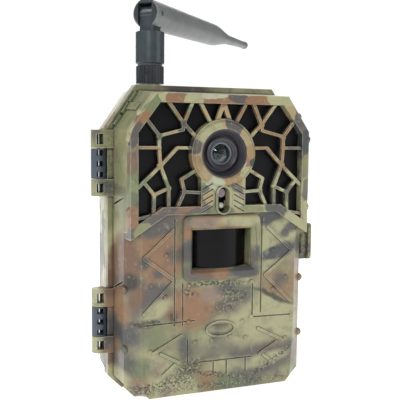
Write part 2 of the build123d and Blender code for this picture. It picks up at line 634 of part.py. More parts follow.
with BuildPart() as power_switch:
    block((SWITCH_X - 1.5, SWITCH_X + 1.5), (PANEL_Y[0] - 1.0, -12.8), (SWITCH_Z - 2.0, SWITCH_Z + 2.0))
    for offset in (-1.2, 0, 1.2):
        block((SWITCH_X - 2, SWITCH_X + 2), (-13.1, -12.7),
              (SWITCH_Z + offset - 0.25, SWITCH_Z + offset + 0.25), Mode.SUBTRACT)
    block((SWITCH_X - 2.6, SWITCH_X + 2.6), (PANEL_Y[0] - 1.0, PANEL_Y[0] - 0.05),
          (SWITCH_Z - 1.8, SWITCH_Z + 1.8))

with BuildPart() as speaker:
    rod("Y", (SPEAKER_X, SPEAKER_Z), (-19.8, PANEL_Y[0] - 0.2), 10.0)
    rod("Y", (SPEAKER_X, SPEAKER_Z), (PANEL_Y[0] - 1.2, PANEL_Y[0]), 8.2, Mode.SUBTRACT)
    rod("Y", (SPEAKER_X, SPEAKER_Z), (-17.0, PANEL_Y[0] - 0.7), 3.6)

with BuildPart() as card_slot:
    # short socket over the card's top end, and a floor plate along the bay
    block((CARD_X[0] - 0.6, CARD_X[1] + 0.6), (CARD_FLOOR_Y, CARD_Y[1] + 0.6), (SOCKET_LOW, CARD_BAY_Z[1] - 0.1))
    block((CARD_X[0] - 0.2, CARD_X[1] + 0.2), (CARD_Y[0] - 0.2, CARD_Y[1] + 0.2),
          (SOCKET_LOW - 1, CARD_Z[1] + 0.1), Mode.SUBTRACT)
    block((CARD_X[0] - 0.6, CARD_X[1] + 0.6), (CARD_FLOOR_Y, CARD_Y[0] - 0.2), (CARD_BAY_Z[0] + 2, SOCKET_LOW + 1))

with BuildPart() as memory_card:
    with BuildSketch(facing(CARD_Y[1])):
        Polygon((CARD_X[0], CARD_Z[0]), (CARD_X[1], CARD_Z[0]), (CARD_X[1], CARD_Z[1] - 4),
                (CARD_X[1] - 4, CARD_Z[1]), (CARD_X[0], CARD_Z[1]), align=None)
    extrude(amount=CARD_Y[1] - CARD_Y[0])
    block((CARD_X[0] + 3, CARD_X[1] - 3), (CARD_Y[1] - 0.2, CARD_Y[1] + 1), (CARD_Z[0] + 1.2, CARD_Z[0] + 2.4),
          Mode.SUBTRACT)

# ---------------------------------------------------------------- rear half

with BuildPart() as rear_case:
    with BuildSketch(facing(SEAM_Y)):
        Polygon(*case_outline(0), align=None)
    extrude(amount=SEAM_Y - REAR_STEP_Y)
    with BuildSketch(facing(REAR_STEP_Y)):
        Polygon(*case_outline(0.9), align=None)
    with BuildSketch(facing(REAR_TURN_Y)):
        Polygon(*case_outline(2.4), align=None)
    loft(ruled=True)
    with BuildSketch(facing(REAR_TURN_Y)):
        Polygon(*case_outline(2.4), align=None)
    with BuildSketch(facing(BACK_Y)):
        Polygon(*case_outline(5.4, 1.8), align=None)
    loft(ruled=True)
    # aerial seat
    rod("Z", (AERIAL_X, AERIAL_Y), (CASE_TOP - 3, AERIAL_SEAT_Z), 8.0)
    # hollow
    with BuildSketch(facing(SEAM_Y - 1)):
        Polygon(*case_outline(5.6, 5.6), align=None)
    extrude(amount=SEAM_Y - 1 - REAR_TURN_Y, mode=Mode.SUBTRACT)
    # seal groove
    with BuildSketch(facing(SEAM_Y)):
        Polygon(*case_outline(1.6, 1.6), align=None)
        Polygon(*case_outline(3.9, 3.9), align=None, mode=Mode.SUBTRACT)
    extrude(amount=-1.6, mode=Mode.SUBTRACT)
    rod("Z", (AERIAL_X, AERIAL_Y), (130, 150), 3.25, Mode.SUBTRACT)
    # tripod boss
    rod("Z", (0, 0), (2, 11.5), 7.0)
    rod("Z", (0, 0), (-1, 9.5), 4.0, Mode.SUBTRACT)
    # catch for the latch
    block((47.0, 49.7), (-11.6, -9.6), (62.4, 72.6))
    # screw holes for the bracket
    for x in (-15.5, 15.5):
        for z in (30.0, 112.0):
            rod("Y", (x, z), (REAR_TURN_Y - 1, BACK_Y + 1), 1.3, Mode.SUBTRACT)

with BuildPart() as seal:
    with BuildSketch(facing(SEAM_Y)):
        Polygon(*case_outline(1.7, 1.7), align=None)
        Polygon(*case_outline(3.8, 3.8), align=None, mode=Mode.SUBTRACT)
    extrude(amount=-1.55)

with BuildPart() as hinge_links:
    for base in HINGE_BASES:
        span = (base + KNUCKLE_SPLITS[0] + KNUCKLE_GAP, base + KNUCKLE_SPLITS[1] - KNUCKLE_GAP)
        rod("Z", (HINGE_X, HINGE_Y), span, KNUCKLE_R)
        block((HINGE_X, -CASE_HALF), (SEAM_Y + 0.05, HINGE_Y + KNUCKLE_R), span)
        rod("Z", (HINGE_X, HINGE_Y), (span[0] - 1, span[1] + 1), PIN_R + PIN_CLEARANCE, Mode.SUBTRACT)
        for share in (0.14, 0.5, 0.86):
            z = span[0] + share * (span[1] - span[0])
            block((HINGE_X - WINDOW_W / 2, HINGE_X + WINDOW_W / 2),
                  (HINGE_Y - KNUCKLE_R - 1, HINGE_Y + 1.6), (z - 1.25, z + 1.25), Mode.SUBTRACT)

with BuildPart() as hinge_pins:
    for base in HINGE_BASES:
        rod("Z", (HINGE_X, HINGE_Y), (base + 0.4, base + HINGE_H - 0.4), PIN_R)

CELL_COLUMNS = [((column - 1.5) * CELL_PITCH, column % 2 == 0) for column in range(4)]  # x, tip up
PLATE_T = 0.4

with BuildPart() as battery_tray:
    block((-33.5, 33.5), (CELL_Y - 3.6, REAR_TURN_Y - 0.1), (13.0, 124.0))
    for row in CELL_ROWS:
        for x, up in CELL_COLUMNS:
            rod("Z", (x, CELL_Y), (row - 2.2, row + CELL_LENGTH + 0.6), CELL_R + 0.2, Mode.SUBTRACT)
        for x in (-CELL_PITCH, CELL_PITCH):
            block((x - 12.6, x + 12.6), (CELL_Y - 3.7, CELL_Y + 4.6), (row - 2.2, row - 1.7), Mode.SUBTRACT)
    for z in (30.0, 60.0, 90.0):
        block((-30, 30), (REAR_TURN_Y - 1.5, REAR_TURN_Y), (z - 6, z + 6), Mode.SUBTRACT)

with BuildPart() as cells:
    for row in CELL_ROWS:
        for x, up in CELL_COLUMNS:
            body = (row, row + CELL_LENGTH - 1.2) if up else (row + 1.2, row + CELL_LENGTH)
            tip = (row + CELL_LENGTH - 1.3, row + CELL_LENGTH) if up else (row, row + 1.3)
            rod("Z", (x, CELL_Y), body, CELL_R)
            rod("Z", (x, CELL_Y), tip, 2.7)

with BuildPart() as contact_plates:
    for row in CELL_ROWS:
        for x in (-CELL_PITCH, CELL_PITCH):
            block((x - 12.5, x + 12.5), (CELL_Y - 3.4, CELL_Y + 4.5), (row - 2.2, row - 2.2 + PLATE_T))

with BuildPart() as cell_springs:
    for row in CELL_ROWS:
        for x, up in CELL_COLUMNS:
            if up:
                for turn in range(3):
                    with Locations((x, CELL_Y, row - 1.5 + turn * 0.55)):
                        Torus(3.6 - 0.35 * turn, 0.25)

with BuildPart() as modem_board:
    block((-33.0, 20.0), (3.2, 4.8), (125.0, 135.5))
    block((-8.0, 14.0), (0.9, 3.2), (126.5, 134.5))

with BuildPart() as aerial_jack:
    rod("Z", (AERIAL_X, AERIAL_Y), (136.9, 150.6), 3.17)
    block((AERIAL_X - 4.0, AERIAL_X + 4.0), (AERIAL_Y - 4.0, AERIAL_Y + 4.0), (132.0, 136.9))
    block((AERIAL_X - 1.0, AERIAL_X + 1.0), (AERIAL_Y + 4.0, 3.2), (133.0, 134.5))

with BuildPart() as jack_nut:
    with BuildSketch(Plane.XY.offset(AERIAL_SEAT_Z)):
        with Locations((AERIAL_X, AERIAL_Y)):
            Circle(5.9)
            Circle(3.25, mode=Mode.SUBTRACT)
    extrude(amount=0.3)
    with BuildSketch(Plane.XY.offset(AERIAL_SEAT_Z + 0.3)):
        with Locations((AERIAL_X, AERIAL_Y)):
            RegularPolygon(5.4, 6)
            Circle(3.25, mode=Mode.SUBTRACT)
    extrude(amount=1.0)

with BuildPart() as tripod_insert:
    rod("Z", (0, 0), (0, 9.4), 3.95)
    rod("Z", (0, 0), (-1, 10), 2.55, Mode.SUBTRACT)

BRACKET = {"half": 24.0, "low": 22.0, "high": 120.0, "plate": BACK_Y + 2.6, "reach": 27.5}

LOCK_HOLE, LOCK_R = (21.4, 46.45), 3.2

with BuildPart() as tree_bracket:
    block((-BRACKET["half"], BRACKET["half"]), (BACK_Y, BRACKET["plate"]), (BRACKET["low"], BRACKET["high"]))
    for side in (-1, 1):
        edge = side * BRACKET["half"]
        cheek = sorted((edge, edge - side * 4.0))
        block(cheek, (BACK_Y, BRACKET["reach"]), (BRACKET["low"], BRACKET["high"]))
        for step in range(8):
            z = BRACKET["low"] + 6.0 + step * 12.3
            with Locations(((cheek[0] + cheek[1]) / 2, BRACKET["reach"] + 0.4, z)):
                Box(5, 4.6, 4.6, rotation=(45, 0, 0), mode=Mode.SUBTRACT)
    # strap slot and lock hole through both cheeks, and a window in the plate
    block((-30, 30), (BRACKET["plate"] + 0.6, BRACKET["plate"] + 5.6), (82.0, 111.0), Mode.SUBTRACT)
    rod("X", LOCK_HOLE, (-30, 30), LOCK_R, Mode.SUBTRACT)
    for x in (-15.5, 15.5):
        for z in (30.0, 112.0):
            rod("Y", (x, z), (BACK_Y - 1, BRACKET["plate"] + 1), 1.5, Mode.SUBTRACT)

with BuildPart() as bracket_screws:
    bracket_points = [(x, z) for x in (-15.5, 15.5) for z in (30.0, 112.0)]
    screw_heads(bracket_points, BRACKET["plate"], 1, head_r=2.9, head_h=1.6, shank_r=1.25, shank=6.0)

# ---------------------------------------------------------------- latch

with BuildPart() as latch_lever:
    block((LATCH_X, LATCH_X + LATCH_T), (-27.8, -6.6), (LATCH_LOW, LATCH_HIGH))
    plate_corners = latch_lever.edges().filter_by(Axis.X)
    fillet(plate_corners, radius=2.0)
    # lip that rides over the catch
    block((49.95, LATCH_X + 0.5), (-9.4, -7.4), (LATCH_LOW + 3.4, LATCH_HIGH - 3.4))
    # knuckle between the lugs
    knuckle = (LATCH_LOW + 2.9, LATCH_HIGH - 5.2)
    rod("Z", LATCH_PIN, knuckle, LUG_R)
    block((LATCH_PIN[0], LATCH_X + 0.5), (LATCH_PIN[1] - LUG_R, LATCH_PIN[1] + LUG_R), knuckle)
    rod("Z", LATCH_PIN, (LATCH_LOW, LATCH_HIGH), 0.85, Mode.SUBTRACT)
    # finger window
    block((LATCH_X - 1, LATCH_X + LATCH_T + 1), (-20.4, -12.6), (LATCH_LOW + 4.4, LATCH_HIGH - 5.4),
          Mode.SUBTRACT)

with BuildPart() as latch_pin:
    rod("Z", LATCH_PIN, (LATCH_LOW + 0.3, LATCH_HIGH - 0.5), 0.8)

# ---------------------------------------------------------------- aerial

with BuildPart() as aerial_nut:
    with BuildSketch(Plane.XY.offset(NUT_LOW)):
        with Locations((AERIAL_X, AERIAL_Y)):
            Circle(NUT_R)
            with PolarLocations(NUT_R + 0.25, 16):
                Circle(0.75, mode=Mode.SUBTRACT)
    extrude(amount=NUT_HIGH - NUT_LOW)
    rod("Z", (AERIAL_X, AERIAL_Y), (NUT_LOW + 0.9, NUT_HIGH - 0.9), NUT_R - 0.75)
    rod("Z", (AERIAL_X, AERIAL_Y), (NUT_LOW - 1, NUT_LOW + 6.0), 3.22, Mode.SUBTRACT)
    rod("Z", (AERIAL_X, AERIAL_Y), (NUT_LOW + 6.0, NUT_HIGH + 1), 4.55, Mode.SUBTRACT)

PIVOT = Vector(AERIAL_X, AERIAL_Y, PIVOT_Z)
WHIP_DIRECTION = Vector(sin(radians(WHIP_HEADING)), cos(radians(WHIP_HEADING)), 0)
PIVOT_DIRECTION = WHIP_DIRECTION.cross(Vector(0, 0, 1))
WHIP_PLANE = Plane(origin=PIVOT, x_dir=WHIP_DIRECTION, z_dir=PIVOT_DIRECTION)
TONGUE_R = 4.1

with BuildPart() as aerial_base:
    # stub that turns in the nut, collar above the nut, and barrel
    rod("Z", (AERIAL_X, AERIAL_Y), (NUT_LOW + 6.9, BARREL_LOW), 4.5)
    rod("Z", (AERIAL_X, AERIAL_Y), (NUT_HIGH + 0.15, BARREL_LOW), 5.9)
    rod("Z", (AERIAL_X, AERIAL_Y), (BARREL_LOW, BARREL_HIGH), BARREL_R)
    rims = aerial_base.edges().filter_by(GeomType.CIRCLE).sort_by(SortBy.RADIUS)[-2:]
    chamfer(rims, length=0.35)
    # tongue that the whip folds on
    with BuildSketch(WHIP_PLANE.offset(-TONGUE_W / 2)):
        Circle(TONGUE_R)
        with Locations((0, (BARREL_HIGH - PIVOT_Z) / 2)):
            Rectangle(2 * TONGUE_R - 0.4, PIVOT_Z - BARREL_HIGH + 0.2)
    extrude(amount=TONGUE_W)
    with BuildSketch(WHIP_PLANE.offset(-TONGUE_W)):
        Circle(1.2)
    extrude(amount=2 * TONGUE_W, mode=Mode.SUBTRACT)

with BuildPart() as aerial_whip:
    with BuildSketch(WHIP_PLANE):
        with BuildLine():
            Polyline((-WHIP_ROOT, 0), (-WHIP_ROOT, 5.75), (1.2 - WHIP_ROOT, 6.95), (70.0, 6.0))
            Spline((70.0, 6.0), (82.0, 4.5), (93.5, 2.8), tangents=((1, -0.02), (1, -0.1)))
            Polyline(
                (93.5, 2.8), (WHIP_LENGTH - 5.0, 2.1), (WHIP_LENGTH - 4.2, 2.3),
                (WHIP_LENGTH - 1.4, 2.3), (WHIP_LENGTH, 1.3), (WHIP_LENGTH, 0), (-WHIP_ROOT, 0),
            )
        make_face()
    revolve(axis=Axis(PIVOT, WHIP_DIRECTION))
    # slot for the tongue, open below and at the root
    with BuildSketch(WHIP_PLANE.offset(-TONGUE_W / 2 - 0.2)):
        with Locations((-2.2, -2.2)):
            Rectangle(13.6, 13.6)
    extrude(amount=TONGUE_W + 0.4, mode=Mode.SUBTRACT)
    with BuildSketch(WHIP_PLANE.offset(-8)):
        Circle(1.2)
    extrude(amount=16, mode=Mode.SUBTRACT)

with BuildPart() as aerial_pin:
    with BuildSketch(WHIP_PLANE.offset(-5.4)):
        Circle(1.15)
    extrude(amount=10.8)

# ---------------------------------------------------------------- contacts between the halves

CONTACT_POINTS = [(-36.0, 41.0 + step * 4.6) for step in range(4)]
CONTACT_R = 0.8

with BuildPart() as contact_block:
    block((-37.5, -34.5), (-11.4, -2.0), (38.0, 58.0))
    for point in CONTACT_POINTS:
        rod("Y", point, (-11.4, -8.4), CONTACT_R, Mode.SUBTRACT)

with BuildPart() as spring_contacts:
    for point in CONTACT_POINTS:
        rod("Y", point, (-12.4, -8.4), CONTACT_R)

with BuildPart() as contact_pads:
    for point in CONTACT_POINTS:
        rod("Y", point, (PANEL_Y[1], -12.7), 1.6)

# ---------------------------------------------------------------- output

pieces = {
    "front_case": front_case, "web_guard": web_guard, "ir_window": ir_window, "pir_frame": pir_frame,
    "pir_lens": pir_lens, "lens_barrel": lens_barrel, "lens_retainer": lens_retainer,
    "lens_glass": lens_glass, "camera_board": camera_board, "ir_board": ir_board, "ir_lamps": ir_lamps,
    "light_sensor": light_sensor, "status_led": status_led, "microphone": microphone,
    "sensor_board": sensor_board, "main_board": main_board, "pir_sensor": pir_sensor,
    "pir_element": pir_element, "inner_panel": inner_panel, "panel_screws": panel_screws,
    "display_window": display_window, "display": display, "keypad_board": keypad_board, **key_parts,
    "power_switch": power_switch, "speaker": speaker, "card_slot": card_slot,
    "memory_card": memory_card, "rear_case": rear_case,
    "seal": seal, "hinge_links": hinge_links, "hinge_pins": hinge_pins, "battery_tray": battery_tray,
    "cells": cells, "cell_springs": cell_springs, "contact_plates": contact_plates,
    "modem_board": modem_board, "aerial_jack": aerial_jack, "jack_nut": jack_nut,
    "tripod_insert": tripod_insert, "tree_bracket": tree_bracket, "bracket_screws": bracket_screws,
    "latch_lever": latch_lever, "latch_pin": latch_pin, "aerial_nut": aerial_nut,
    "aerial_base": aerial_base, "aerial_whip": aerial_whip,
    "aerial_pin": aerial_pin, "contact_block": contact_block, "spring_contacts": spring_contacts,
    "contact_pads": contact_pads,
}
for name, piece in pieces.items():
    piece.part.label = name
    export_step(piece.part, f"parts/{name}.step")
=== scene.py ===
"""Trail camera: looks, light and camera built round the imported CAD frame.

Metres, in the frame's own coordinates: +X to the viewer's right, the front faces -Y, +Z up.
"""
import math

import bmesh
import bpy
from mathutils import Matrix, Vector


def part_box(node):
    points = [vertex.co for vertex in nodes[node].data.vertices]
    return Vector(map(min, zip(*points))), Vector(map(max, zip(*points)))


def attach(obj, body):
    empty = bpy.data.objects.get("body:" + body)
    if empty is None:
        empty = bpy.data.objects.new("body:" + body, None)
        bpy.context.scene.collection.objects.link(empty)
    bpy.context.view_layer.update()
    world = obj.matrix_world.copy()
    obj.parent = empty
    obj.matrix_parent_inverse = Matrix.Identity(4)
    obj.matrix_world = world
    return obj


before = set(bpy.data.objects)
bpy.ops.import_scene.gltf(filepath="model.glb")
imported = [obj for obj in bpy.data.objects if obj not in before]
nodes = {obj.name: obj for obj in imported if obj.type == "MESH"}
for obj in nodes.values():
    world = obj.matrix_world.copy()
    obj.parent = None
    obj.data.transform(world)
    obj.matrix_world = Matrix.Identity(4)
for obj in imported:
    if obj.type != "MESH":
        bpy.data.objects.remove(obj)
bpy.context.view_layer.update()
MM = 0.001


# ---------------------------------------------------------------- camera, stage and lights

CAMERA_PLACE = (-0.12567, -0.32869, 0.11914)
CAMERA_FORWARD = (0.3635, 0.9272, -0.0907)
CAMERA_ROLL = math.radians(0.54)
LENS_MM = 63.0
SENSOR_MM = 36.0
BACKDROP_STRENGTH = 1.05
STUDIO_STRENGTH = 0.22
FLOOR_Z = -0.0002
FLOOR_REACH = 4.0
LIT_POINT = (0.0, -0.01, 0.08)
# name: place, width and height, watts
LIGHTS = {
    "key": ((-0.50, -0.85, 0.60), 0.28, 4.6),
    "shoulder": ((-0.85, -0.05, 0.80), 0.50, 4.4),
    "fill": ((0.80, -0.60, 0.30), 0.60, 1.7),
    "top": ((0.10, 0.15, 0.95), 0.80, 2.4),
    "back": ((0.25, 0.95, 0.45), 0.70, 3.2),
}


def make_camera():
    data = bpy.data.cameras.new("camera")
    data.lens = LENS_MM
    data.sensor_width = SENSOR_MM
    data.clip_start = 0.01
    data.clip_end = 50.0
    camera = bpy.data.objects.new("camera", data)
    forward = Vector(CAMERA_FORWARD).normalized()
    level = forward.cross(Vector((0, 0, 1))).normalized()
    upright = level.cross(forward)
    right = level * math.cos(CAMERA_ROLL) + upright * math.sin(CAMERA_ROLL)
    up = right.cross(forward)
    turn = Matrix((right, up, -forward)).transposed().to_4x4()
    camera.matrix_world = Matrix.Translation(CAMERA_PLACE) @ turn
    bpy.context.scene.collection.objects.link(camera)
    bpy.context.scene.camera = camera


def area_light(name, place, size, watts):
    data = bpy.data.lights.new(name, "AREA")
    data.size = size
    data.energy = watts
    light = bpy.data.objects.new(name, data)
    light.location = place
    aim = Vector(LIT_POINT) - Vector(place)
    light.rotation_euler = aim.to_track_quat("-Z", "Y").to_euler()
    bpy.context.scene.collection.objects.link(light)


def make_world():
    """White backdrop to look at, softer white light on the object."""
    world = bpy.data.worlds.new("studio")
    world.use_nodes = True
    tree = world.node_tree
    studio = tree.nodes["Background"]
    output = tree.nodes["World Output"]
    backdrop = tree.nodes.new("ShaderNodeBackground")
    path = tree.nodes.new("ShaderNodeLightPath")
    choice = tree.nodes.new("ShaderNodeMixShader")
    for shader, strength in ((studio, STUDIO_STRENGTH), (backdrop, BACKDROP_STRENGTH)):
        shader.inputs["Color"].default_value = (1.0, 1.0, 1.0, 1.0)
        shader.inputs["Strength"].default_value = strength
    tree.links.new(path.outputs["Is Camera Ray"], choice.inputs[0])
    tree.links.new(studio.outputs[0], choice.inputs[1])
    tree.links.new(backdrop.outputs[0], choice.inputs[2])
    tree.links.new(choice.outputs[0], output.inputs["Surface"])
    bpy.context.scene.world = world


def make_stage():
    scene = bpy.context.scene
    scene.view_settings.view_transform = "Standard"
    make_world()
    mesh = bpy.data.meshes.new("floor")
    sides = ((-1, -1), (1, -1), (1, 1), (-1, 1))
    mesh.from_pydata([(x * FLOOR_REACH, y * FLOOR_REACH, 0) for x, y in sides], [], [(0, 1, 2, 3)])
    mesh.materials.append(floor_material())
    floor = bpy.data.objects.new("floor", mesh)
    floor.location.z = FLOOR_Z
    scene.collection.objects.link(floor)
    for name, (place, size, watts) in LIGHTS.items():
        area_light(name, place, size, watts)


# ---------------------------------------------------------------- material helpers


def middle_of(node):
    low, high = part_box(node)
    return tuple((a + b) / 2 for a, b in zip(low, high))


def rgb(red, green, blue):
    """Linear colour from 0-255 display values."""
    return tuple(((v / 255 + 0.055) / 1.055) ** 2.4 for v in (red, green, blue)) + (1.0,)


class Graph:
    """Nodes of one material, with short calls for the kinds used here."""

    def __init__(self, name):
        self.material = bpy.data.materials.new(name)
        self.material.use_nodes = True
        self.tree = self.material.node_tree
        self.tree.nodes.clear()
        self.shader = self.add("ShaderNodeBsdfPrincipled")
        output = self.add("ShaderNodeOutputMaterial")
        self.tree.links.new(self.shader.outputs["BSDF"], output.inputs["Surface"])
        self.place = self.add("ShaderNodeTexCoord").outputs["Object"]

    def add(self, kind, **settings):
        node = self.tree.nodes.new(kind)
        for key, value in settings.items():
            setattr(node, key, value)
        return node

    def put(self, socket, value):
        if isinstance(value, bpy.types.NodeSocket):
            self.tree.links.new(value, socket)
        else:
            socket.default_value = value

    def surface(self, **values):
        for name, value in values.items():
            self.put(self.shader.inputs[name.replace("_", " ")], value)

    def noise(self, scale, detail=2.0, roughness=0.5, at=None, seed=0.0, colour=False):
        node = self.add("ShaderNodeTexNoise", noise_dimensions="4D")
        self.put(node.inputs["Vector"], self.place if at is None else at)
        self.put(node.inputs["W"], seed)
        self.put(node.inputs["Scale"], scale)
        self.put(node.inputs["Detail"], detail)
        self.put(node.inputs["Roughness"], roughness)
        return node.outputs["Color" if colour else "Fac"]

    def voronoi(self, scale, feature="F1", at=None, randomness=1.0):
        node = self.add("ShaderNodeTexVoronoi", feature=feature)
        self.put(node.inputs["Vector"], self.place if at is None else at)
        self.put(node.inputs["Scale"], scale)
        self.put(node.inputs["Randomness"], randomness)
        return node.outputs["Distance"]

    def mapping(self, location=(0, 0, 0), rotation=(0, 0, 0), scale=(1, 1, 1), at=None):
        node = self.add("ShaderNodeMapping", vector_type="TEXTURE")
        self.put(node.inputs["Vector"], self.place if at is None else at)
        self.put(node.inputs["Location"], location)
        self.put(node.inputs["Rotation"], rotation)
        self.put(node.inputs["Scale"], scale)
        return node.outputs["Vector"]

    def math(self, operation, a, b=0.0):
        node = self.add("ShaderNodeMath", operation=operation)
        self.put(node.inputs[0], a)
        self.put(node.inputs[1], b)
        return node.outputs[0]

    def vector(self, operation, a, b=(0, 0, 0), scale=1.0):
        node = self.add("ShaderNodeVectorMath", operation=operation)
        self.put(node.inputs[0], a)
        self.put(node.inputs[1], b)
        self.put(node.inputs[3], scale)
        return node.outputs["Value" if operation in ("LENGTH", "DOT_PRODUCT") else "Vector"]

    def span(self, value, low, high, to_low=0.0, to_high=1.0):
        """Smooth step of value from low..high to to_low..to_high."""
        node = self.add("ShaderNodeMapRange", interpolation_type="SMOOTHSTEP")
        self.put(node.inputs["Value"], value)
        self.put(node.inputs["From Min"], low)
        self.put(node.inputs["From Max"], high)
        self.put(node.inputs["To Min"], to_low)
        self.put(node.inputs["To Max"], to_high)
        return node.outputs["Result"]

    def mix(self, share, a, b):
        node = self.add("ShaderNodeMix", data_type="RGBA")
        self.put(node.inputs[0], share)
        self.put(node.inputs[6], a)
        self.put(node.inputs[7], b)
        return node.outputs[2]

    def height(self):
        node = self.add("ShaderNodeSeparateXYZ")
        self.put(node.inputs[0], self.place)
        return node.outputs["Z"]

    def occlusion(self, distance, inside=False):
        """1 in the open, less in corners of the piece itself; inside turns it over to its edges."""
        node = self.add("ShaderNodeAmbientOcclusion", inside=inside, only_local=True, samples=6)
        self.put(node.inputs["Distance"], distance)
        return node.outputs["AO"]

    def bump(self, height, strength, distance):
        node = self.add("ShaderNodeBump")
        self.put(node.inputs["Height"], height)
        self.put(node.inputs["Strength"], strength)
        self.put(node.inputs["Distance"], distance)
        self.put(self.shader.inputs["Normal"], node.outputs["Normal"])


def floor_material():
    g = Graph("floor_paper")
    tone = g.span(g.noise(3.0, 3.0), 0.3, 0.7)
    g.surface(
        Base_Color=g.mix(tone, (0.93, 0.93, 0.93, 1), (0.9, 0.9, 0.9, 1)),
        Roughness=0.8,
        Emission_Color=(1.0, 1.0, 1.0, 1.0),
        Emission_Strength=0.8,
    )
    return g.material


# ---------------------------------------------------------------- camouflage

KHAKI = rgb(152, 150, 114)
PALE = rgb(164, 166, 140)
SAND = rgb(152, 136, 100)
MOSS = rgb(98, 108, 76)
OLIVE = rgb(124, 124, 90)
ORANGE = rgb(130, 98, 70)
RUST = rgb(104, 78, 58)
VIOLET = rgb(82, 77, 74)
SLATE = rgb(64, 65, 66)
CHARCOAL = rgb(36, 34, 30)
PINKISH = rgb(128, 110, 96)
TAN = rgb(144, 120, 84)

# crack spacing of the printed bark along each axis
BARK_PLATE = (2.6 * MM, 2.2 * MM, 1.3 * MM)
# how far noise pushes the outlines of the print: patches, then bark, coarse and fine
PATCH_WARP = (3.5 * MM, 0.5 * MM)
BARK_WARP = (1.2 * MM, 0.7 * MM)
# width of the blend between colours, in noise value: smoky print and sharp print
SOFT_EDGE = 0.07
SHARP_EDGE = 0.012
# reach of the painted shade in corners and of the painted highlight on edges
CORNER_SHADE_REACH = 1.6 * MM
EDGE_HIGHLIGHT_REACH = 0.4 * MM
PRINT_RELIEF = 0.12 * MM
# a patch is an ellipse from the front, and this far through along Y, in metres
THROUGH = 10.0


def warped(g, coarse, fine, seed):
    """Object coordinates pushed about by noise, in metres."""
    big = g.noise(55.0, 3.0, 0.55, seed=seed, colour=True)
    small = g.noise(420.0, 2.0, 0.6, seed=seed + 3, colour=True)
    at = g.place
    for push, reach in ((big, coarse), (small, fine)):
        push = g.vector("SCALE", g.vector("SUBTRACT", push, (0.5, 0.5, 0.5)), scale=2 * reach)
        at = g.vector("ADD", at, push)
    return at


def region(g, at, x, z, half_x, half_z, turn, soft, strength=1.0):
    """Share that is 1 in an ellipse round (x, z) in millimetres, seen from the front."""
    size = (half_x * MM, THROUGH, half_z * MM)
    local = g.mapping((x * MM, 0, z * MM), (0, math.radians(-turn), 0), size, at)
    return g.span(g.vector("LENGTH", local), 1 + soft, 1 - soft, 0.0, strength)


def camo(name, patches=(), bark=(), soft=True, seed=0.0, base=(KHAKI, OLIVE)):
    """Printed camouflage film on moulded plastic, with painted shade in corners and painted highlights
    on edges.
    """
    g = Graph(name)
    at = warped(g, *PATCH_WARP, seed)
    edge = SOFT_EDGE if soft else SHARP_EDGE
    colour = g.mix(g.span(g.noise(38.0, 2.0, at=at, seed=seed), 0.5 - edge, 0.5 + edge), *base)
    # scale, level, colour, seed offset
    layers = (
        (31.0, 0.58, ORANGE, 7.0),
        (44.0, 0.58, MOSS, 11.0),
        (36.0, 0.57, VIOLET, 17.0),
        (58.0, 0.64, PINKISH, 23.0),
    )
    for scale, level, tint, offset in layers:
        blob = g.noise(scale, 1.5, at=at, seed=seed + offset)
        colour = g.mix(g.span(blob, level - edge, level + edge, 0.0, 0.92), colour, tint)
    for x, z, half_x, half_z, turn, tint, *finish in patches:
        colour = g.mix(region(g, at, x, z, half_x, half_z, turn, *finish), colour, tint)
    # smoky mottling and pale flecks of the print
    mottle = g.noise(150.0, 6.0, 0.7, seed=seed + 5)
    colour = g.mix(g.span(mottle, 0.45, 0.74, 0.0, 0.55), colour, SLATE)
    fleck = g.noise(330.0, 4.0, 0.65, seed=seed + 8)
    colour = g.mix(g.span(fleck, 0.55, 0.74, 0.0, 0.35), colour, PALE)
    # bark: short cracks and specks, only where the print has them
    where = g.span(g.noise(24.0, 1.0, seed=seed + 13), 0.60, 0.68, 0.0, 0.8)
    for spot in bark:
        where = g.math("MAXIMUM", where, region(g, at, *spot))
    rough_at = warped(g, *BARK_WARP, seed + 31)
    plates = g.voronoi(1.0, "DISTANCE_TO_EDGE", at=g.mapping(scale=BARK_PLATE, at=rough_at))
    broken = g.span(g.noise(300.0, 2.0, seed=seed + 37), 0.42, 0.55)
    crack = g.math("MULTIPLY", g.span(plates, 0.12, 0.0), broken)
    speck = g.noise(900.0, 3.0, 0.7, seed=seed + 19)
    marks = (
        (g.math("MULTIPLY", crack, 0.8), CHARCOAL),
        (g.span(speck, 0.51, 0.42, 0.0, 0.85), CHARCOAL),
        (g.span(speck, 0.56, 0.63, 0.0, 0.75), PALE),
    )
    for share, tint in marks:
        colour = g.mix(g.math("MULTIPLY", where, share), colour, tint)
    # painted shade: darker towards charcoal in the piece's own corners; painted highlight: pale along
    # its edges
    colour = g.mix(g.span(g.occlusion(CORNER_SHADE_REACH), 0.93, 0.45, 0.0, 0.85), colour, CHARCOAL)
    # painted highlight: pale on convex edges, broken up by noise
    edge_highlight = g.span(g.occlusion(EDGE_HIGHLIGHT_REACH, inside=True), 0.93, 0.6)
    highlight_patchiness = g.span(g.noise(300.0, 3.0, seed=seed + 29), 0.35, 0.6, 0.2, 0.8)
    colour = g.mix(g.math("MULTIPLY", edge_highlight, highlight_patchiness), colour, PALE)
    g.surface(
        Base_Color=colour,
        Roughness=g.span(mottle, 0.3, 0.7, 0.36, 0.5),
        Specular_IOR_Level=0.4,
        Coat_Weight=0.22,
        Coat_Roughness=0.12,
    )
    relief = g.math("MULTIPLY", g.math("ADD", crack, g.span(speck, 0.7, 0.3)), where)
    grain = g.noise(1500.0, 2.0, 0.6, seed=seed + 2)
    g.bump(g.math("SUBTRACT", g.math("MULTIPLY", grain, 0.5), relief), 0.5, PRINT_RELIEF)
    return g.material


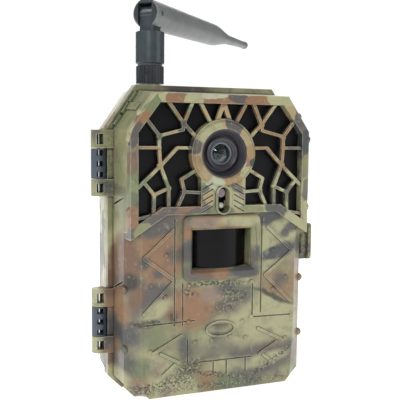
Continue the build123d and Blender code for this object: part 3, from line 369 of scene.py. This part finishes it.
LOWER_PATCHES = (
    # x, z, half width, half height, turn, colour, softness, strength
    (-30, 66, 12, 13, 0, ORANGE, 0.4),
    (-43, 62, 4, 14, 0, RUST, 0.3),
    (-15, 41, 13, 9, -12, ORANGE, 0.4),
    (-4, 46, 6, 3.5, 0, PINKISH, 0.6),
    (-30, 79, 10, 4.6, 24, VIOLET, 0.4),
    (-22, 66, 4, 3.4, 0, SLATE, 0.6, 0.8),
    (-37.5, 62, 2.4, 2.4, 0, SLATE, 0.6),
    (-31, 58, 2.6, 1.5, -30, VIOLET, 0.5),
    (-33, 49, 8, 3.4, 36, VIOLET, 0.45),
    (-40, 46, 3, 6, -20, RUST, 0.6),
    (-43, 53.5, 3.6, 4.0, 0, CHARCOAL, 0.4, 0.9),
    (-31, 41, 8, 3.2, 34, KHAKI, 0.45),
    (-23, 37.8, 2.2, 2.4, 0, CHARCOAL, 0.7, 0.8),
    (-36, 35.4, 5.5, 1.6, 8, CHARCOAL, 0.6, 0.7),
    (-44, 30, 4.5, 4, 20, SLATE, 0.5, 0.85),
    (-33, 29.5, 6, 4.5, 0, MOSS, 0.6, 0.7),
    (-37, 15, 4, 5, 0, MOSS, 0.6, 0.8),
    (-43.5, 15, 4, 7, 0, SLATE, 0.6, 0.75),
    (-17, 22, 3.2, 8, 0, SLATE, 0.6, 0.8),
    (-4, 20, 12, 4, 0, SLATE, 0.8, 0.45),
    (12, 27, 9, 6, 0, KHAKI, 0.6),
    (1, 13, 12, 3, 0, KHAKI, 0.6, 0.8),
    (4, 49, 6, 2.6, 0, SLATE, 0.6, 0.8),
    (13, 46, 3.4, 5, 0, SLATE, 0.6, 0.7),
    (5, 41, 6, 4.5, 20, VIOLET, 0.7, 0.75),
    (25, 82, 7.5, 4.0, 0, SLATE, 0.4),
    (29, 77, 3.5, 2.6, 0, KHAKI, 0.5),
    (39, 78, 7, 3.0, 24, SLATE, 0.4, 0.9),
    (25, 72, 7, 4, 30, KHAKI, 0.4),
    (33, 73.5, 2.2, 2.4, 0, SLATE, 0.4, 0.85),
    (29, 65, 10, 3.4, 17, SLATE, 0.3),
    (41, 68, 4, 4.5, 0, SLATE, 0.4, 0.9),
    (24, 58, 5, 2.4, 20, KHAKI, 0.4),
    (30, 52, 3.4, 3.0, 0, VIOLET, 0.8, 0.8),
    (29, 38, 11, 5, -18, KHAKI, 0.4),
    (27, 43.4, 12, 1.3, -23, CHARCOAL, 0.5, 0.85),
    (30, 27, 13, 6, 0, KHAKI, 0.5),
    (28, 21, 4, 2.4, 0, RUST, 0.9, 0.6),
    (24, 13, 12, 3, 12, KHAKI, 0.5),
    (-15, 12, 8, 3.2, 20, CHARCOAL, 0.6, 0.5),
    # left side wall
    (-49, 118, 4, 9, 0, OLIVE, 0.2),
    (-49, 104, 4, 7, 0, MOSS, 0.4, 0.7),
    (-49, 96, 4, 3, 0, SLATE, 0.5, 0.8),
    (-49, 84, 4, 9, 0, OLIVE, 0.3),
    (-49, 52, 4, 9, 0, RUST, 0.4),
    (-49, 29, 4, 8, 0, SLATE, 0.5, 0.8),
    (-47, 7, 6, 6, 0, KHAKI, 0.4),
    # hinge knuckles
    (-55, 33, 5, 19, 0, KHAKI, 0.2),
)
LOWER_BARK = (
    # x, z, half width, half height, turn, softness, strength
    (-2, 51.5, 19, 1.3, 2, 0.5),
    (-16, 48, 5, 1.6, -20, 0.5),
    (7, 46, 6, 3.5, -10, 0.6, 0.9),
    (3, 41, 6, 3.5, 20, 0.6, 0.7),
    (-35, 35.4, 7, 1.4, 6, 0.5),
    (-16, 12, 8.5, 3.4, 24, 0.5),
    (-28, 6, 17, 2.6, 6, 0.4),
    (0, 8.0, 14, 1.4, -10, 0.5),
    (27, 12, 13, 1.5, 32, 0.5),
    (0, 3.4, 46, 1.8, 0, 0.6, 0.7),
    (-48, 108, 3, 16, 0, 0.6, 0.4),
)
GUARD_PATCHES = (
    # rim, clockwise from the upper left
    (-38, 125, 5, 3.4, 55, ORANGE, 0.06),
    (-41, 119.5, 2.6, 5.5, -20, VIOLET, 0.06),
    (-43, 107, 3, 5, 0, RUST, 0.1, 0.6),
    (-43, 95, 3, 7, 0, MOSS, 0.1, 0.7),
    (-43, 84, 4, 5, 0, ORANGE, 0.1),
    (-27, 137, 5, 4, 0, KHAKI, 0.06),
    (-23, 136, 5, 4, 12, ORANGE, 0.06),
    (-14, 136, 5, 3.5, 0, KHAKI, 0.06),
    (-3, 135, 6, 2.6, -8, ORANGE, 0.06),
    (-3, 138.4, 7, 1.4, 6, PALE, 0.06),
    (8, 137, 6, 2.6, -14, VIOLET, 0.06),
    (17, 135.6, 7, 3.2, -6, ORANGE, 0.06),
    (28, 136, 6, 3.4, 0, KHAKI, 0.06),
    (33, 131, 3, 3, 0, SAND, 0.06),
    (38.5, 126.5, 2.8, 6, -34, VIOLET, 0.06),
    (43, 117, 2.6, 6, 0, SLATE, 0.06),
    (43, 106, 2.8, 5, 0, OLIVE, 0.1),
    (43, 94, 2.8, 5, 0, VIOLET, 0.1, 0.8),
    # lens ring, by the clock
    (-8, 122, 7, 5, 34, KHAKI, 0.05),
    (5, 123.4, 6, 3.0, -34, VIOLET, 0.04),
    (12, 119.6, 5, 4.4, -50, SAND, 0.05),
    (14.6, 112, 3, 4.6, 0, TAN, 0.05),
    (14.6, 107.4, 2.2, 1.6, 0, SLATE, 0.05),
    (11.5, 102, 4.4, 3.4, 40, KHAKI, 0.05),
    (4, 98.8, 6, 2.6, 8, TAN, 0.06),
    (-4.5, 98, 4.4, 2.6, -20, PALE, 0.06),
    (-10, 102, 4, 3.6, -40, SAND, 0.05),
    (-14, 107, 3, 4.4, 10, TAN, 0.05),
    (-14, 114.4, 3, 3.4, 20, VIOLET, 0.05),
    # pedestal and the band over the lower face
    (-7, 92, 3, 4, 0, SAND, 0.1),
    (-9, 95.6, 2.4, 1.6, 20, SLATE, 0.1, 0.8),
    (7, 96, 4, 1.8, -24, SLATE, 0.1, 0.8),
    (6, 90, 4, 4, 0, KHAKI, 0.1),
    (-22, 87.4, 12, 2.4, 8, ORANGE, 0.12, 0.8),
    (-29, 84, 8, 2.6, 34, VIOLET, 0.12, 0.9),
    (-38, 78, 5, 3, 34, OLIVE, 0.12),
    (14, 86.4, 6, 2.4, 0, OLIVE, 0.12),
    (27, 86, 7, 3, -14, SLATE, 0.12, 0.9),
    (37, 80.5, 6, 3, -34, KHAKI, 0.12),
    # ribs
    (-20, 128, 4, 4, -30, ORANGE, 0.08, 0.8),
    (-19, 123, 4, 3.6, -34, SLATE, 0.08, 0.9),
    (-33, 121, 4, 4, -40, SLATE, 0.08, 0.8),
    (-36, 114, 5, 2, 0, ORANGE, 0.08, 0.8),
    (-29, 107, 4, 4, 0, TAN, 0.08, 0.7),
    (-32, 96, 4, 4, 0, SAND, 0.08),
    (-21, 100, 3, 5, 0, TAN, 0.08, 0.6),
    (20, 125, 4, 4, 0, TAN, 0.08, 0.7),
    (30, 107, 4, 4, 0, ORANGE, 0.08, 0.8),
    (34, 93, 4, 4, 0, SLATE, 0.08, 0.8),
    (26, 92, 3, 5, 0, SLATE, 0.08, 0.7),
)
FRAME_PATCHES = (
    (-18, 82, 3, 3, 0, VIOLET, 0.4, 0.8),
    (-8, 80.6, 8, 2.6, 0, PINKISH, 0.4),
    (8, 80.4, 9, 2.6, 0, KHAKI, 0.4),
    (-16.5, 76, 3, 3.4, 0, ORANGE, 0.4),
    (-17, 67, 3.4, 5, 0, SLATE, 0.5, 0.9),
    (-17, 58, 4, 3.6, 0, VIOLET, 0.5, 0.9),
    (-9, 57, 6, 2.4, 0, RUST, 0.5),
    (-1, 56, 5, 2.8, 0, ORANGE, 0.4),
    (11, 56.6, 8, 3.4, 0, SLATE, 0.4, 0.95),
    (17, 64, 3, 4, 0, SLATE, 0.5, 0.8),
    (17, 74, 3, 5, 0, OLIVE, 0.4),
)
LATCH_PATCHES = (
    (49, 58, 12, 18, 0, KHAKI, 0.05),
    (49, 70, 9, 6, 0, OLIVE, 0.3),
    (49, 64, 9, 3, 0, VIOLET, 0.5, 0.8),
)


# ---------------------------------------------------------------- plain materials

# unevenness of moulded plastic, as a share of its colour, and of its roughness
CLOUDING = 0.18
DULLING = 0.06


def scaled(tint, share):
    """Tint made darker or lighter by a share, up to white."""
    return tuple(min(1.0, v * share) for v in tint[:3]) + (1.0,)


def moulded(name, tint, roughness=0.5, grain=900.0, relief=0.05, coat=0.0):
    """Moulded plastic or rubber with a fine grain and slight unevenness of colour."""
    g = Graph(name)
    cloud = g.span(g.noise(60.0, 4.0, 0.6), 0.3, 0.7)
    dullness = g.noise(220.0, 3.0)
    g.surface(
        Base_Color=g.mix(cloud, scaled(tint, 1 - CLOUDING), scaled(tint, 1 + CLOUDING)),
        Roughness=g.span(dullness, 0.3, 0.7, roughness - DULLING, roughness + DULLING),
        Coat_Weight=coat,
        Coat_Roughness=0.12,
    )
    g.bump(g.noise(grain, 3.0, 0.6), 0.3, relief * MM)
    return g.material


def metal(name, tint, roughness=0.3, stretch=(1, 1, 1)):
    """Metal with fine brushing; stretch is the length of the marks along each axis."""
    g = Graph(name)
    marks = g.noise(900.0, 3.0, 0.6, at=g.mapping(scale=stretch))
    g.surface(
        Base_Color=g.mix(g.span(marks, 0.35, 0.65), scaled(tint, 0.8), tint),
        Metallic=1.0,
        Roughness=g.span(marks, 0.3, 0.7, roughness - 0.06, roughness + 0.08),
    )
    g.bump(marks, 0.15, 0.02 * MM)
    return g.material


def circuit_board():
    """Green solder mask with darker tracks and pale pads."""
    g = Graph("circuit_board")
    tracks = g.voronoi(260.0, "DISTANCE_TO_EDGE", randomness=0.6)
    pads = g.voronoi(330.0, "F1")
    colour = g.mix(g.span(tracks, 0.02, 0.06), rgb(20, 92, 52), rgb(10, 58, 34))
    colour = g.mix(g.span(pads, 0.14, 0.1), colour, rgb(190, 184, 160))
    g.surface(Base_Color=colour, Roughness=g.span(pads, 0.1, 0.2, 0.3, 0.42), Coat_Weight=0.3)
    g.bump(tracks, 0.2, 0.03 * MM)
    return g.material


def dark_glass(name, tint, roughness=0.08, coat=0.6, specular=0.25):
    """Nearly black window plastic."""
    g = Graph(name)
    haze = g.noise(90.0, 3.0)
    g.surface(
        Base_Color=g.mix(g.span(haze, 0.3, 0.8), tint, scaled(tint, 1.5)),
        Roughness=g.span(haze, 0.3, 0.7, roughness, roughness + 0.06),
        Coat_Weight=coat,
        Coat_Roughness=0.03,
        Specular_IOR_Level=specular,
    )
    return g.material


def screen_cover():
    """Clear plastic with faint smears."""
    g = Graph("screen_cover")
    smear = g.noise(120.0, 3.0)
    tint = rgb(205, 208, 210)
    g.surface(
        Base_Color=g.mix(smear, tint, scaled(tint, 1.12)),
        Roughness=g.span(smear, 0.4, 0.8, 0.02, 0.05),
        Transmission_Weight=1.0,
        IOR=1.45,
        Coat_Weight=0.5,
        Coat_Roughness=0.02,
    )
    return g.material


def coated_lens():
    """Front lens: thin see-through glass, so the steps behind it are lit."""
    g = Graph("lens_glass")
    smear = g.noise(120.0, 3.0)
    g.surface(
        Base_Color=g.mix(smear, rgb(12, 26, 24), rgb(26, 46, 42)),
        Roughness=g.span(smear, 0.4, 0.8, 0.02, 0.05),
        Coat_Weight=1.0,
        Coat_Roughness=0.02,
        Alpha=0.3,
    )
    return g.material


# steps behind the front lens: a painted highlight lies below and outside these
LIT_BELOW = (-0.4 * MM, -2.2 * MM)
LIT_OUTSIDE = (2.9 * MM, 3.2 * MM)
STEP_WIDTH = 0.3 * MM


def coated_rings():
    """Dark steps behind the front lens, with a painted highlight low on the outer one."""
    g = Graph("coated_rings")
    centre = middle_of("lens_glass")
    height = g.math("SUBTRACT", g.height(), centre[2])
    local = g.vector("SUBTRACT", g.place, (centre[0], 0, centre[2]))
    radius = g.vector("LENGTH", g.vector("MULTIPLY", local, (1, 0, 1)))
    # painted highlight: near white, low on the outer step
    painted_highlight = g.math("MULTIPLY", g.span(height, *LIT_BELOW), g.span(radius, *LIT_OUTSIDE))
    step = g.span(g.math("PINGPONG", radius, STEP_WIDTH), 0.08 * MM, 0.2 * MM)
    dark = g.mix(step, rgb(26, 34, 36), rgb(74, 92, 92))
    g.surface(
        Base_Color=g.mix(painted_highlight, dark, rgb(222, 230, 230)),
        Roughness=g.span(g.noise(700.0, 2.0), 0.3, 0.7, 0.4, 0.5),
    )
    g.bump(g.noise(1500.0, 2.0), 0.1, 0.02 * MM)
    return g.material


CELLS_FROM_Z = 17.2 * MM
CELL_ROW = 54.0 * MM
LABEL_CHANGE = (33.5 * MM, 34.0 * MM)


def cell_label():
    """Printed film round each cell: dark with a copper-coloured end."""
    g = Graph("cell_label")
    along = g.math("PINGPONG", g.math("SUBTRACT", g.height(), CELLS_FROM_Z), CELL_ROW)
    colour = g.mix(g.span(along, *LABEL_CHANGE), rgb(36, 38, 44), rgb(178, 120, 72))
    scuffs = g.noise(700.0, 2.0)
    g.surface(Base_Color=colour, Metallic=0.6, Roughness=g.span(scuffs, 0.3, 0.7, 0.26, 0.36))
    return g.material


# whip: how far its fork reaches past the pivot, each way, and half the width of its slot
FORK_BACK = (-4.5 * MM, -4.8 * MM)
FORK_SLOT_END = (4.9 * MM, 4.6 * MM)
FORK_SLOT_SIDE = (3.9 * MM, 3.7 * MM)


def whip_plastic():
    """Grey sleeve of the whip, with the dark fork end and the slot for the tongue."""
    g = Graph("whip_plastic")
    pivot = Vector(middle_of("aerial_pin"))
    tip = Vector(max(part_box("aerial_whip"), key=lambda corner: corner[0])) - pivot
    along = Vector((tip.x, tip.y, 0)).normalized()
    across = along.cross(Vector((0, 0, 1)))
    local = g.vector("SUBTRACT", g.place, tuple(pivot))
    reach = g.vector("DOT_PRODUCT", local, tuple(along))
    offset = g.math("ABSOLUTE", g.vector("DOT_PRODUCT", local, tuple(across)))
    slot = g.math("MULTIPLY", g.span(offset, *FORK_SLOT_SIDE), g.span(reach, *FORK_SLOT_END))
    dark = g.math("MAXIMUM", g.span(reach, *FORK_BACK), slot)
    cloud = g.span(g.noise(60.0, 4.0, 0.6), 0.3, 0.7)
    sleeve = g.mix(cloud, rgb(104, 106, 106), rgb(118, 120, 120))
    g.surface(
        Base_Color=g.mix(dark, sleeve, rgb(40, 46, 50)),
        Roughness=g.span(g.noise(220.0, 3.0), 0.3, 0.7, 0.36, 0.46),
    )
    g.bump(g.noise(1400.0, 3.0, 0.6), 0.3, 0.02 * MM)
    return g.material


def make_materials():
    slate_blue = rgb(62, 70, 82)
    return {
        "front_case": camo("camo_front_case", LOWER_PATCHES, LOWER_BARK),
        "web_guard": camo("camo_web_guard", GUARD_PATCHES, soft=False, seed=40.0, base=(KHAKI, SAND)),
        "pir_frame": camo("camo_pir_frame", FRAME_PATCHES, seed=80.0, base=(KHAKI, OLIVE)),
        "rear_case": camo("camo_rear_case", soft=False, seed=120.0, base=(PALE, KHAKI)),
        "latch_lever": camo("camo_latch", LATCH_PATCHES, seed=160.0, base=(KHAKI, OLIVE)),
        "tree_bracket": moulded("bracket_plastic", rgb(74, 70, 58), 0.6, 700.0, 0.12),
        "ir_window": dark_glass("lamp_window", rgb(6, 5, 7), 0.3, 0.0, 0.2),
        "pir_lens": dark_glass("sensor_lens", rgb(5, 5, 6), 0.24, 0.0, 0.14),
        "lens_barrel": moulded("lens_barrel", rgb(54, 52, 58), 0.45, 1800.0, 0.03),
        "lens_retainer": moulded("retainer_ring", rgb(96, 100, 108), 0.35, 1500.0, 0.02),
        "lens_glass": coated_lens(),
        "iris": coated_rings(),
        "inner_element": dark_glass("inner_element", rgb(30, 56, 52), 0.08, 0.8, 0.5),
        "boards": circuit_board(),
        "ir_lamps": dark_glass("lamp_resin", rgb(30, 24, 30), 0.1),
        "light_sensor": moulded("pink_resin", rgb(136, 114, 124), 0.25, 600.0, 0.02, coat=0.6),
        "status_led": moulded("lamp_lens", rgb(190, 190, 182), 0.18, 600.0, 0.02, coat=0.8),
        "steel": metal("plain_steel", rgb(190, 190, 188), 0.34),
        "pins": metal("ground_steel", rgb(216, 218, 220), 0.2, (1, 1, 6)),
        "sensor_element": dark_glass("filter_glass", rgb(40, 44, 56), 0.08),
        "panel": moulded("panel_plastic", rgb(52, 52, 54), 0.55, 1100.0, 0.06),
        "display_window": screen_cover(),
        "display": dark_glass("screen", rgb(20, 22, 26), 0.16, 0.2),
        "keys": moulded("key_rubber", rgb(104, 104, 106), 0.7, 1300.0, 0.04),
        "key_marks": moulded("key_paint", rgb(196, 196, 190), 0.55, 1500.0, 0.01),
        "switch": moulded("switch_red", rgb(158, 52, 42), 0.45, 900.0, 0.03),
        "speaker": moulded("speaker_cone", rgb(58, 56, 54), 0.8, 1500.0, 0.08),
        "memory_card": moulded("card_plastic", rgb(40, 48, 72), 0.4, 900.0, 0.02),
        "seal": moulded("seal_rubber", rgb(78, 78, 78), 0.75, 700.0, 0.04),
        "hinge_links": moulded("link_plastic", slate_blue, 0.42, 900.0, 0.04),
        "tray": moulded("tray_plastic", rgb(46, 46, 46), 0.6, 900.0, 0.06),
        "cells": cell_label(),
        "nickel": metal("nickel", rgb(206, 203, 194), 0.28),
        "gold": metal("gold_plate", rgb(214, 182, 116), 0.26),
        "brass": metal("brass", rgb(200, 168, 104), 0.32),
        "aerial_nut": moulded("nut_plastic", rgb(36, 39, 43), 0.32, 900.0, 0.03),
        "aerial_base": moulded("barrel_plastic", rgb(48, 57, 62), 0.32, 1200.0, 0.02),
        "aerial_whip": whip_plastic(),
    }


NODE_MATERIALS = {
    "lens_barrel": ("lens_barrel",),
    "lens_retainer": ("lens_retainer",),
    "lens_glass": ("lens_glass",),
    "boards": ("camera_board", "ir_board", "sensor_board", "main_board", "keypad_board", "modem_board"),
    "ir_lamps": ("ir_lamps",),
    "light_sensor": ("light_sensor",),
    "status_led": ("status_led",),
    "steel": ("microphone", "pir_sensor", "panel_screws", "bracket_screws", "aerial_pin"),
    "pins": ("hinge_pins", "latch_pin", "jack_nut"),
    "sensor_element": ("pir_element",),
    "panel": ("inner_panel",),
    "display_window": ("display_window",),
    "display": ("display",),
    "keys": ("key_up", "key_down", "key_left", "key_right", "key_ok", "key_menu"),
    "switch": ("power_switch",),
    "speaker": ("speaker",),
    "memory_card": ("memory_card",),
    "seal": ("seal",),
    "hinge_links": ("hinge_links",),
    "tray": ("battery_tray", "contact_block"),
    "cells": ("cells",),
    "nickel": ("card_slot", "cell_springs", "contact_plates"),
    "gold": ("aerial_jack", "spring_contacts", "contact_pads"),
    "brass": ("tripod_insert",),
    "aerial_nut": ("aerial_nut",),
    "aerial_base": ("aerial_base",),
    "aerial_whip": ("aerial_whip",),
    "front_case": ("front_case",),
    "web_guard": ("web_guard",),
    "pir_frame": ("pir_frame",),
    "rear_case": ("rear_case",),
    "latch_lever": ("latch_lever",),
    "tree_bracket": ("tree_bracket",),
    "ir_window": ("ir_window",),
    "pir_lens": ("pir_lens",),
}
# rounding of the moulded edges, millimetres
BEVELS = {
    "front_case": 0.35, "web_guard": 0.3, "pir_frame": 0.3, "rear_case": 0.5, "latch_lever": 0.35,
    "tree_bracket": 0.4, "hinge_links": 0.25, "aerial_nut": 0.15, "aerial_base": 0.15,
    "aerial_whip": 0.2, "battery_tray": 0.3, "inner_panel": 0.15,
}


BEVEL_ANGLE = math.radians(32)
FLAT_ANGLE = math.radians(0.5)
WELD_DISTANCE = 0.002 * MM


def bevelled(piece, width):
    """Small rounded edges, by a modifier."""
    bevel = piece.modifiers.new("bevel", "BEVEL")
    bevel.width = width * MM
    bevel.segments = 2
    bevel.limit_method = "ANGLE"
    bevel.angle_limit = BEVEL_ANGLE
    bevel.miter_outer = "MITER_ARC"
    normal = piece.modifiers.new("normal", "WEIGHTED_NORMAL")
    normal.keep_sharp = True


def finish_cad_nodes(materials):
    for finish, names in NODE_MATERIALS.items():
        for name in names:
            node = nodes[name]
            node.data.materials.clear()
            node.data.materials.append(materials[finish])
    for name, width in BEVELS.items():
        weld = nodes[name].modifiers.new("weld", "WELD")
        weld.merge_threshold = WELD_DISTANCE
        flat = nodes[name].modifiers.new("flat", "DECIMATE")
        flat.decimate_type = "DISSOLVE"
        flat.angle_limit = FLAT_ANGLE
        bevelled(nodes[name], width)


# ---------------------------------------------------------------- added pieces


def add_piece(name, bm, body, material, bevel):
    """Turn the bmesh into a piece that rides on a body."""
    bmesh.ops.recalc_face_normals(bm, faces=bm.faces)
    mesh = bpy.data.meshes.new(name)
    bm.to_mesh(mesh)
    bm.free()
    mesh.materials.append(material)
    mesh.shade_smooth()
    piece = bpy.data.objects.new(name, mesh)
    bpy.context.scene.collection.objects.link(piece)
    bevelled(piece, bevel)
    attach(piece, body)


def turned(profile, steps=72):
    """Closed profile of (radius, y) in millimetres, turned about the lens axis."""
    centre = middle_of("lens_glass")
    bm = bmesh.new()
    points = [bm.verts.new((radius * MM, y * MM, centre[2])) for radius, y in profile]
    edges = [bm.edges.new(pair) for pair in zip(points, points[1:] + points[:1])]
    bmesh.ops.spin(
        bm, geom=points + edges, cent=(0, 0, centre[2]), axis=(0, 1, 0),
        angle=2 * math.pi, steps=steps, use_merge=True,
    )
    bmesh.ops.remove_doubles(bm, verts=bm.verts, dist=0.0005 * MM)
    axis_edges = [e for e in bm.edges if not e.link_faces]
    bmesh.ops.delete(bm, geom=axis_edges, context="EDGES")
    return bm


def dome(radius, front_y, back_y, sphere_r, steps=8):
    """Profile of a lens element with one domed side."""
    reach = math.asin(radius / sphere_r)
    arc = [
        (sphere_r * math.sin(reach * i / steps), front_y + sphere_r * (1 - math.cos(reach * i / steps)))
        for i in range(steps + 1)
    ]
    return arc + [(radius, back_y), (0.0, back_y)]


# profiles behind the front lens: (radius, y) in millimetres
IRIS = (
    (4.5, -30.6), (4.1, -30.6), (3.7, -30.1), (3.7, -29.8), (3.1, -29.6), (3.1, -29.3), (2.5, -29.1),
    (2.5, -28.6), (2.0, -28.4), (2.0, -27.8), (4.5, -27.8),
)
INNER_TUBE = ((4.5, -27.7), (4.2, -27.7), (4.2, -25.2), (4.5, -25.2))
# radius, front, back and radius of the dome
INNER_ELEMENT = (1.95, -29.0, -27.9, 3.0)


def add_lens_parts(materials):
    add_piece("iris_rings", turned(IRIS), "front_half", materials["iris"], 0.05)
    inner = turned(dome(*INNER_ELEMENT))
    add_piece("inner_element", inner, "front_half", materials["inner_element"], 0.03)
    tube = turned(INNER_TUBE)
    add_piece("inner_tube", tube, "front_half", materials["lens_barrel"], 0.05)


# outline of an arrow pointing up, (x, z) in millimetres
ARROW = ((0.0, 1.5), (1.45, -0.9), (0.5, -0.55), (-0.5, -0.55), (-1.45, -0.9))
KEY_MARKS = {
    # key: turn of the arrow, degrees
    "key_up": 0,
    "key_right": -90,
    "key_down": 180,
    "key_left": 90,
}
# how far a mark stands on its key and reaches into it, millimetres
MARK_HEIGHT = 0.12
MARK_ROOT = 0.05
MARK_BEVEL = 0.04
# menu mark: three bars, their half length, half width and heights
BAR_HALF_LENGTH = 1.3
BAR_HALF_WIDTH = 0.22
BAR_HEIGHTS = (-1, 0, 1)
HEXAGON_R = 1.5


def raised(outlines, key):
    """Raised marks on a key: outlines of (x, z) in millimetres from its centre."""
    centre = middle_of(key)
    face_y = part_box(key)[1][1]
    bm = bmesh.new()
    for outline in outlines:
        root_y = face_y - MARK_ROOT * MM
        verts = [bm.verts.new((centre[0] + x * MM, root_y, centre[2] + z * MM)) for x, z in outline]
        face = bm.faces.new(verts)
        top = bmesh.ops.extrude_face_region(bm, geom=[face])["geom"]
        moved = [v for v in top if isinstance(v, bmesh.types.BMVert)]
        bmesh.ops.translate(bm, verts=moved, vec=(0, (MARK_HEIGHT + MARK_ROOT) * MM, 0))
    return bm


def rotated(outline, degrees):
    turn = Matrix.Rotation(math.radians(degrees), 2)
    return [tuple(turn @ Vector(point)) for point in outline]


def add_key_marks(materials):
    outlines = {key: [rotated(ARROW, degrees)] for key, degrees in KEY_MARKS.items()}
    corners = ((-1, -1), (1, -1), (1, 1), (-1, 1))
    outlines["key_menu"] = [
        [(BAR_HALF_LENGTH * a, z + BAR_HALF_WIDTH * b) for a, b in corners] for z in BAR_HEIGHTS
    ]
    outlines["key_ok"] = [[rotated([(HEXAGON_R, 0.0)], 60 * side)[0] for side in range(6)]]
    for key, shapes in outlines.items():
        add_piece(key + "_mark", raised(shapes, key), key, materials["key_marks"], MARK_BEVEL)


make_camera()
make_stage()
all_materials = make_materials()
finish_cad_nodes(all_materials)
add_lens_parts(all_materials)
add_key_marks(all_materials)
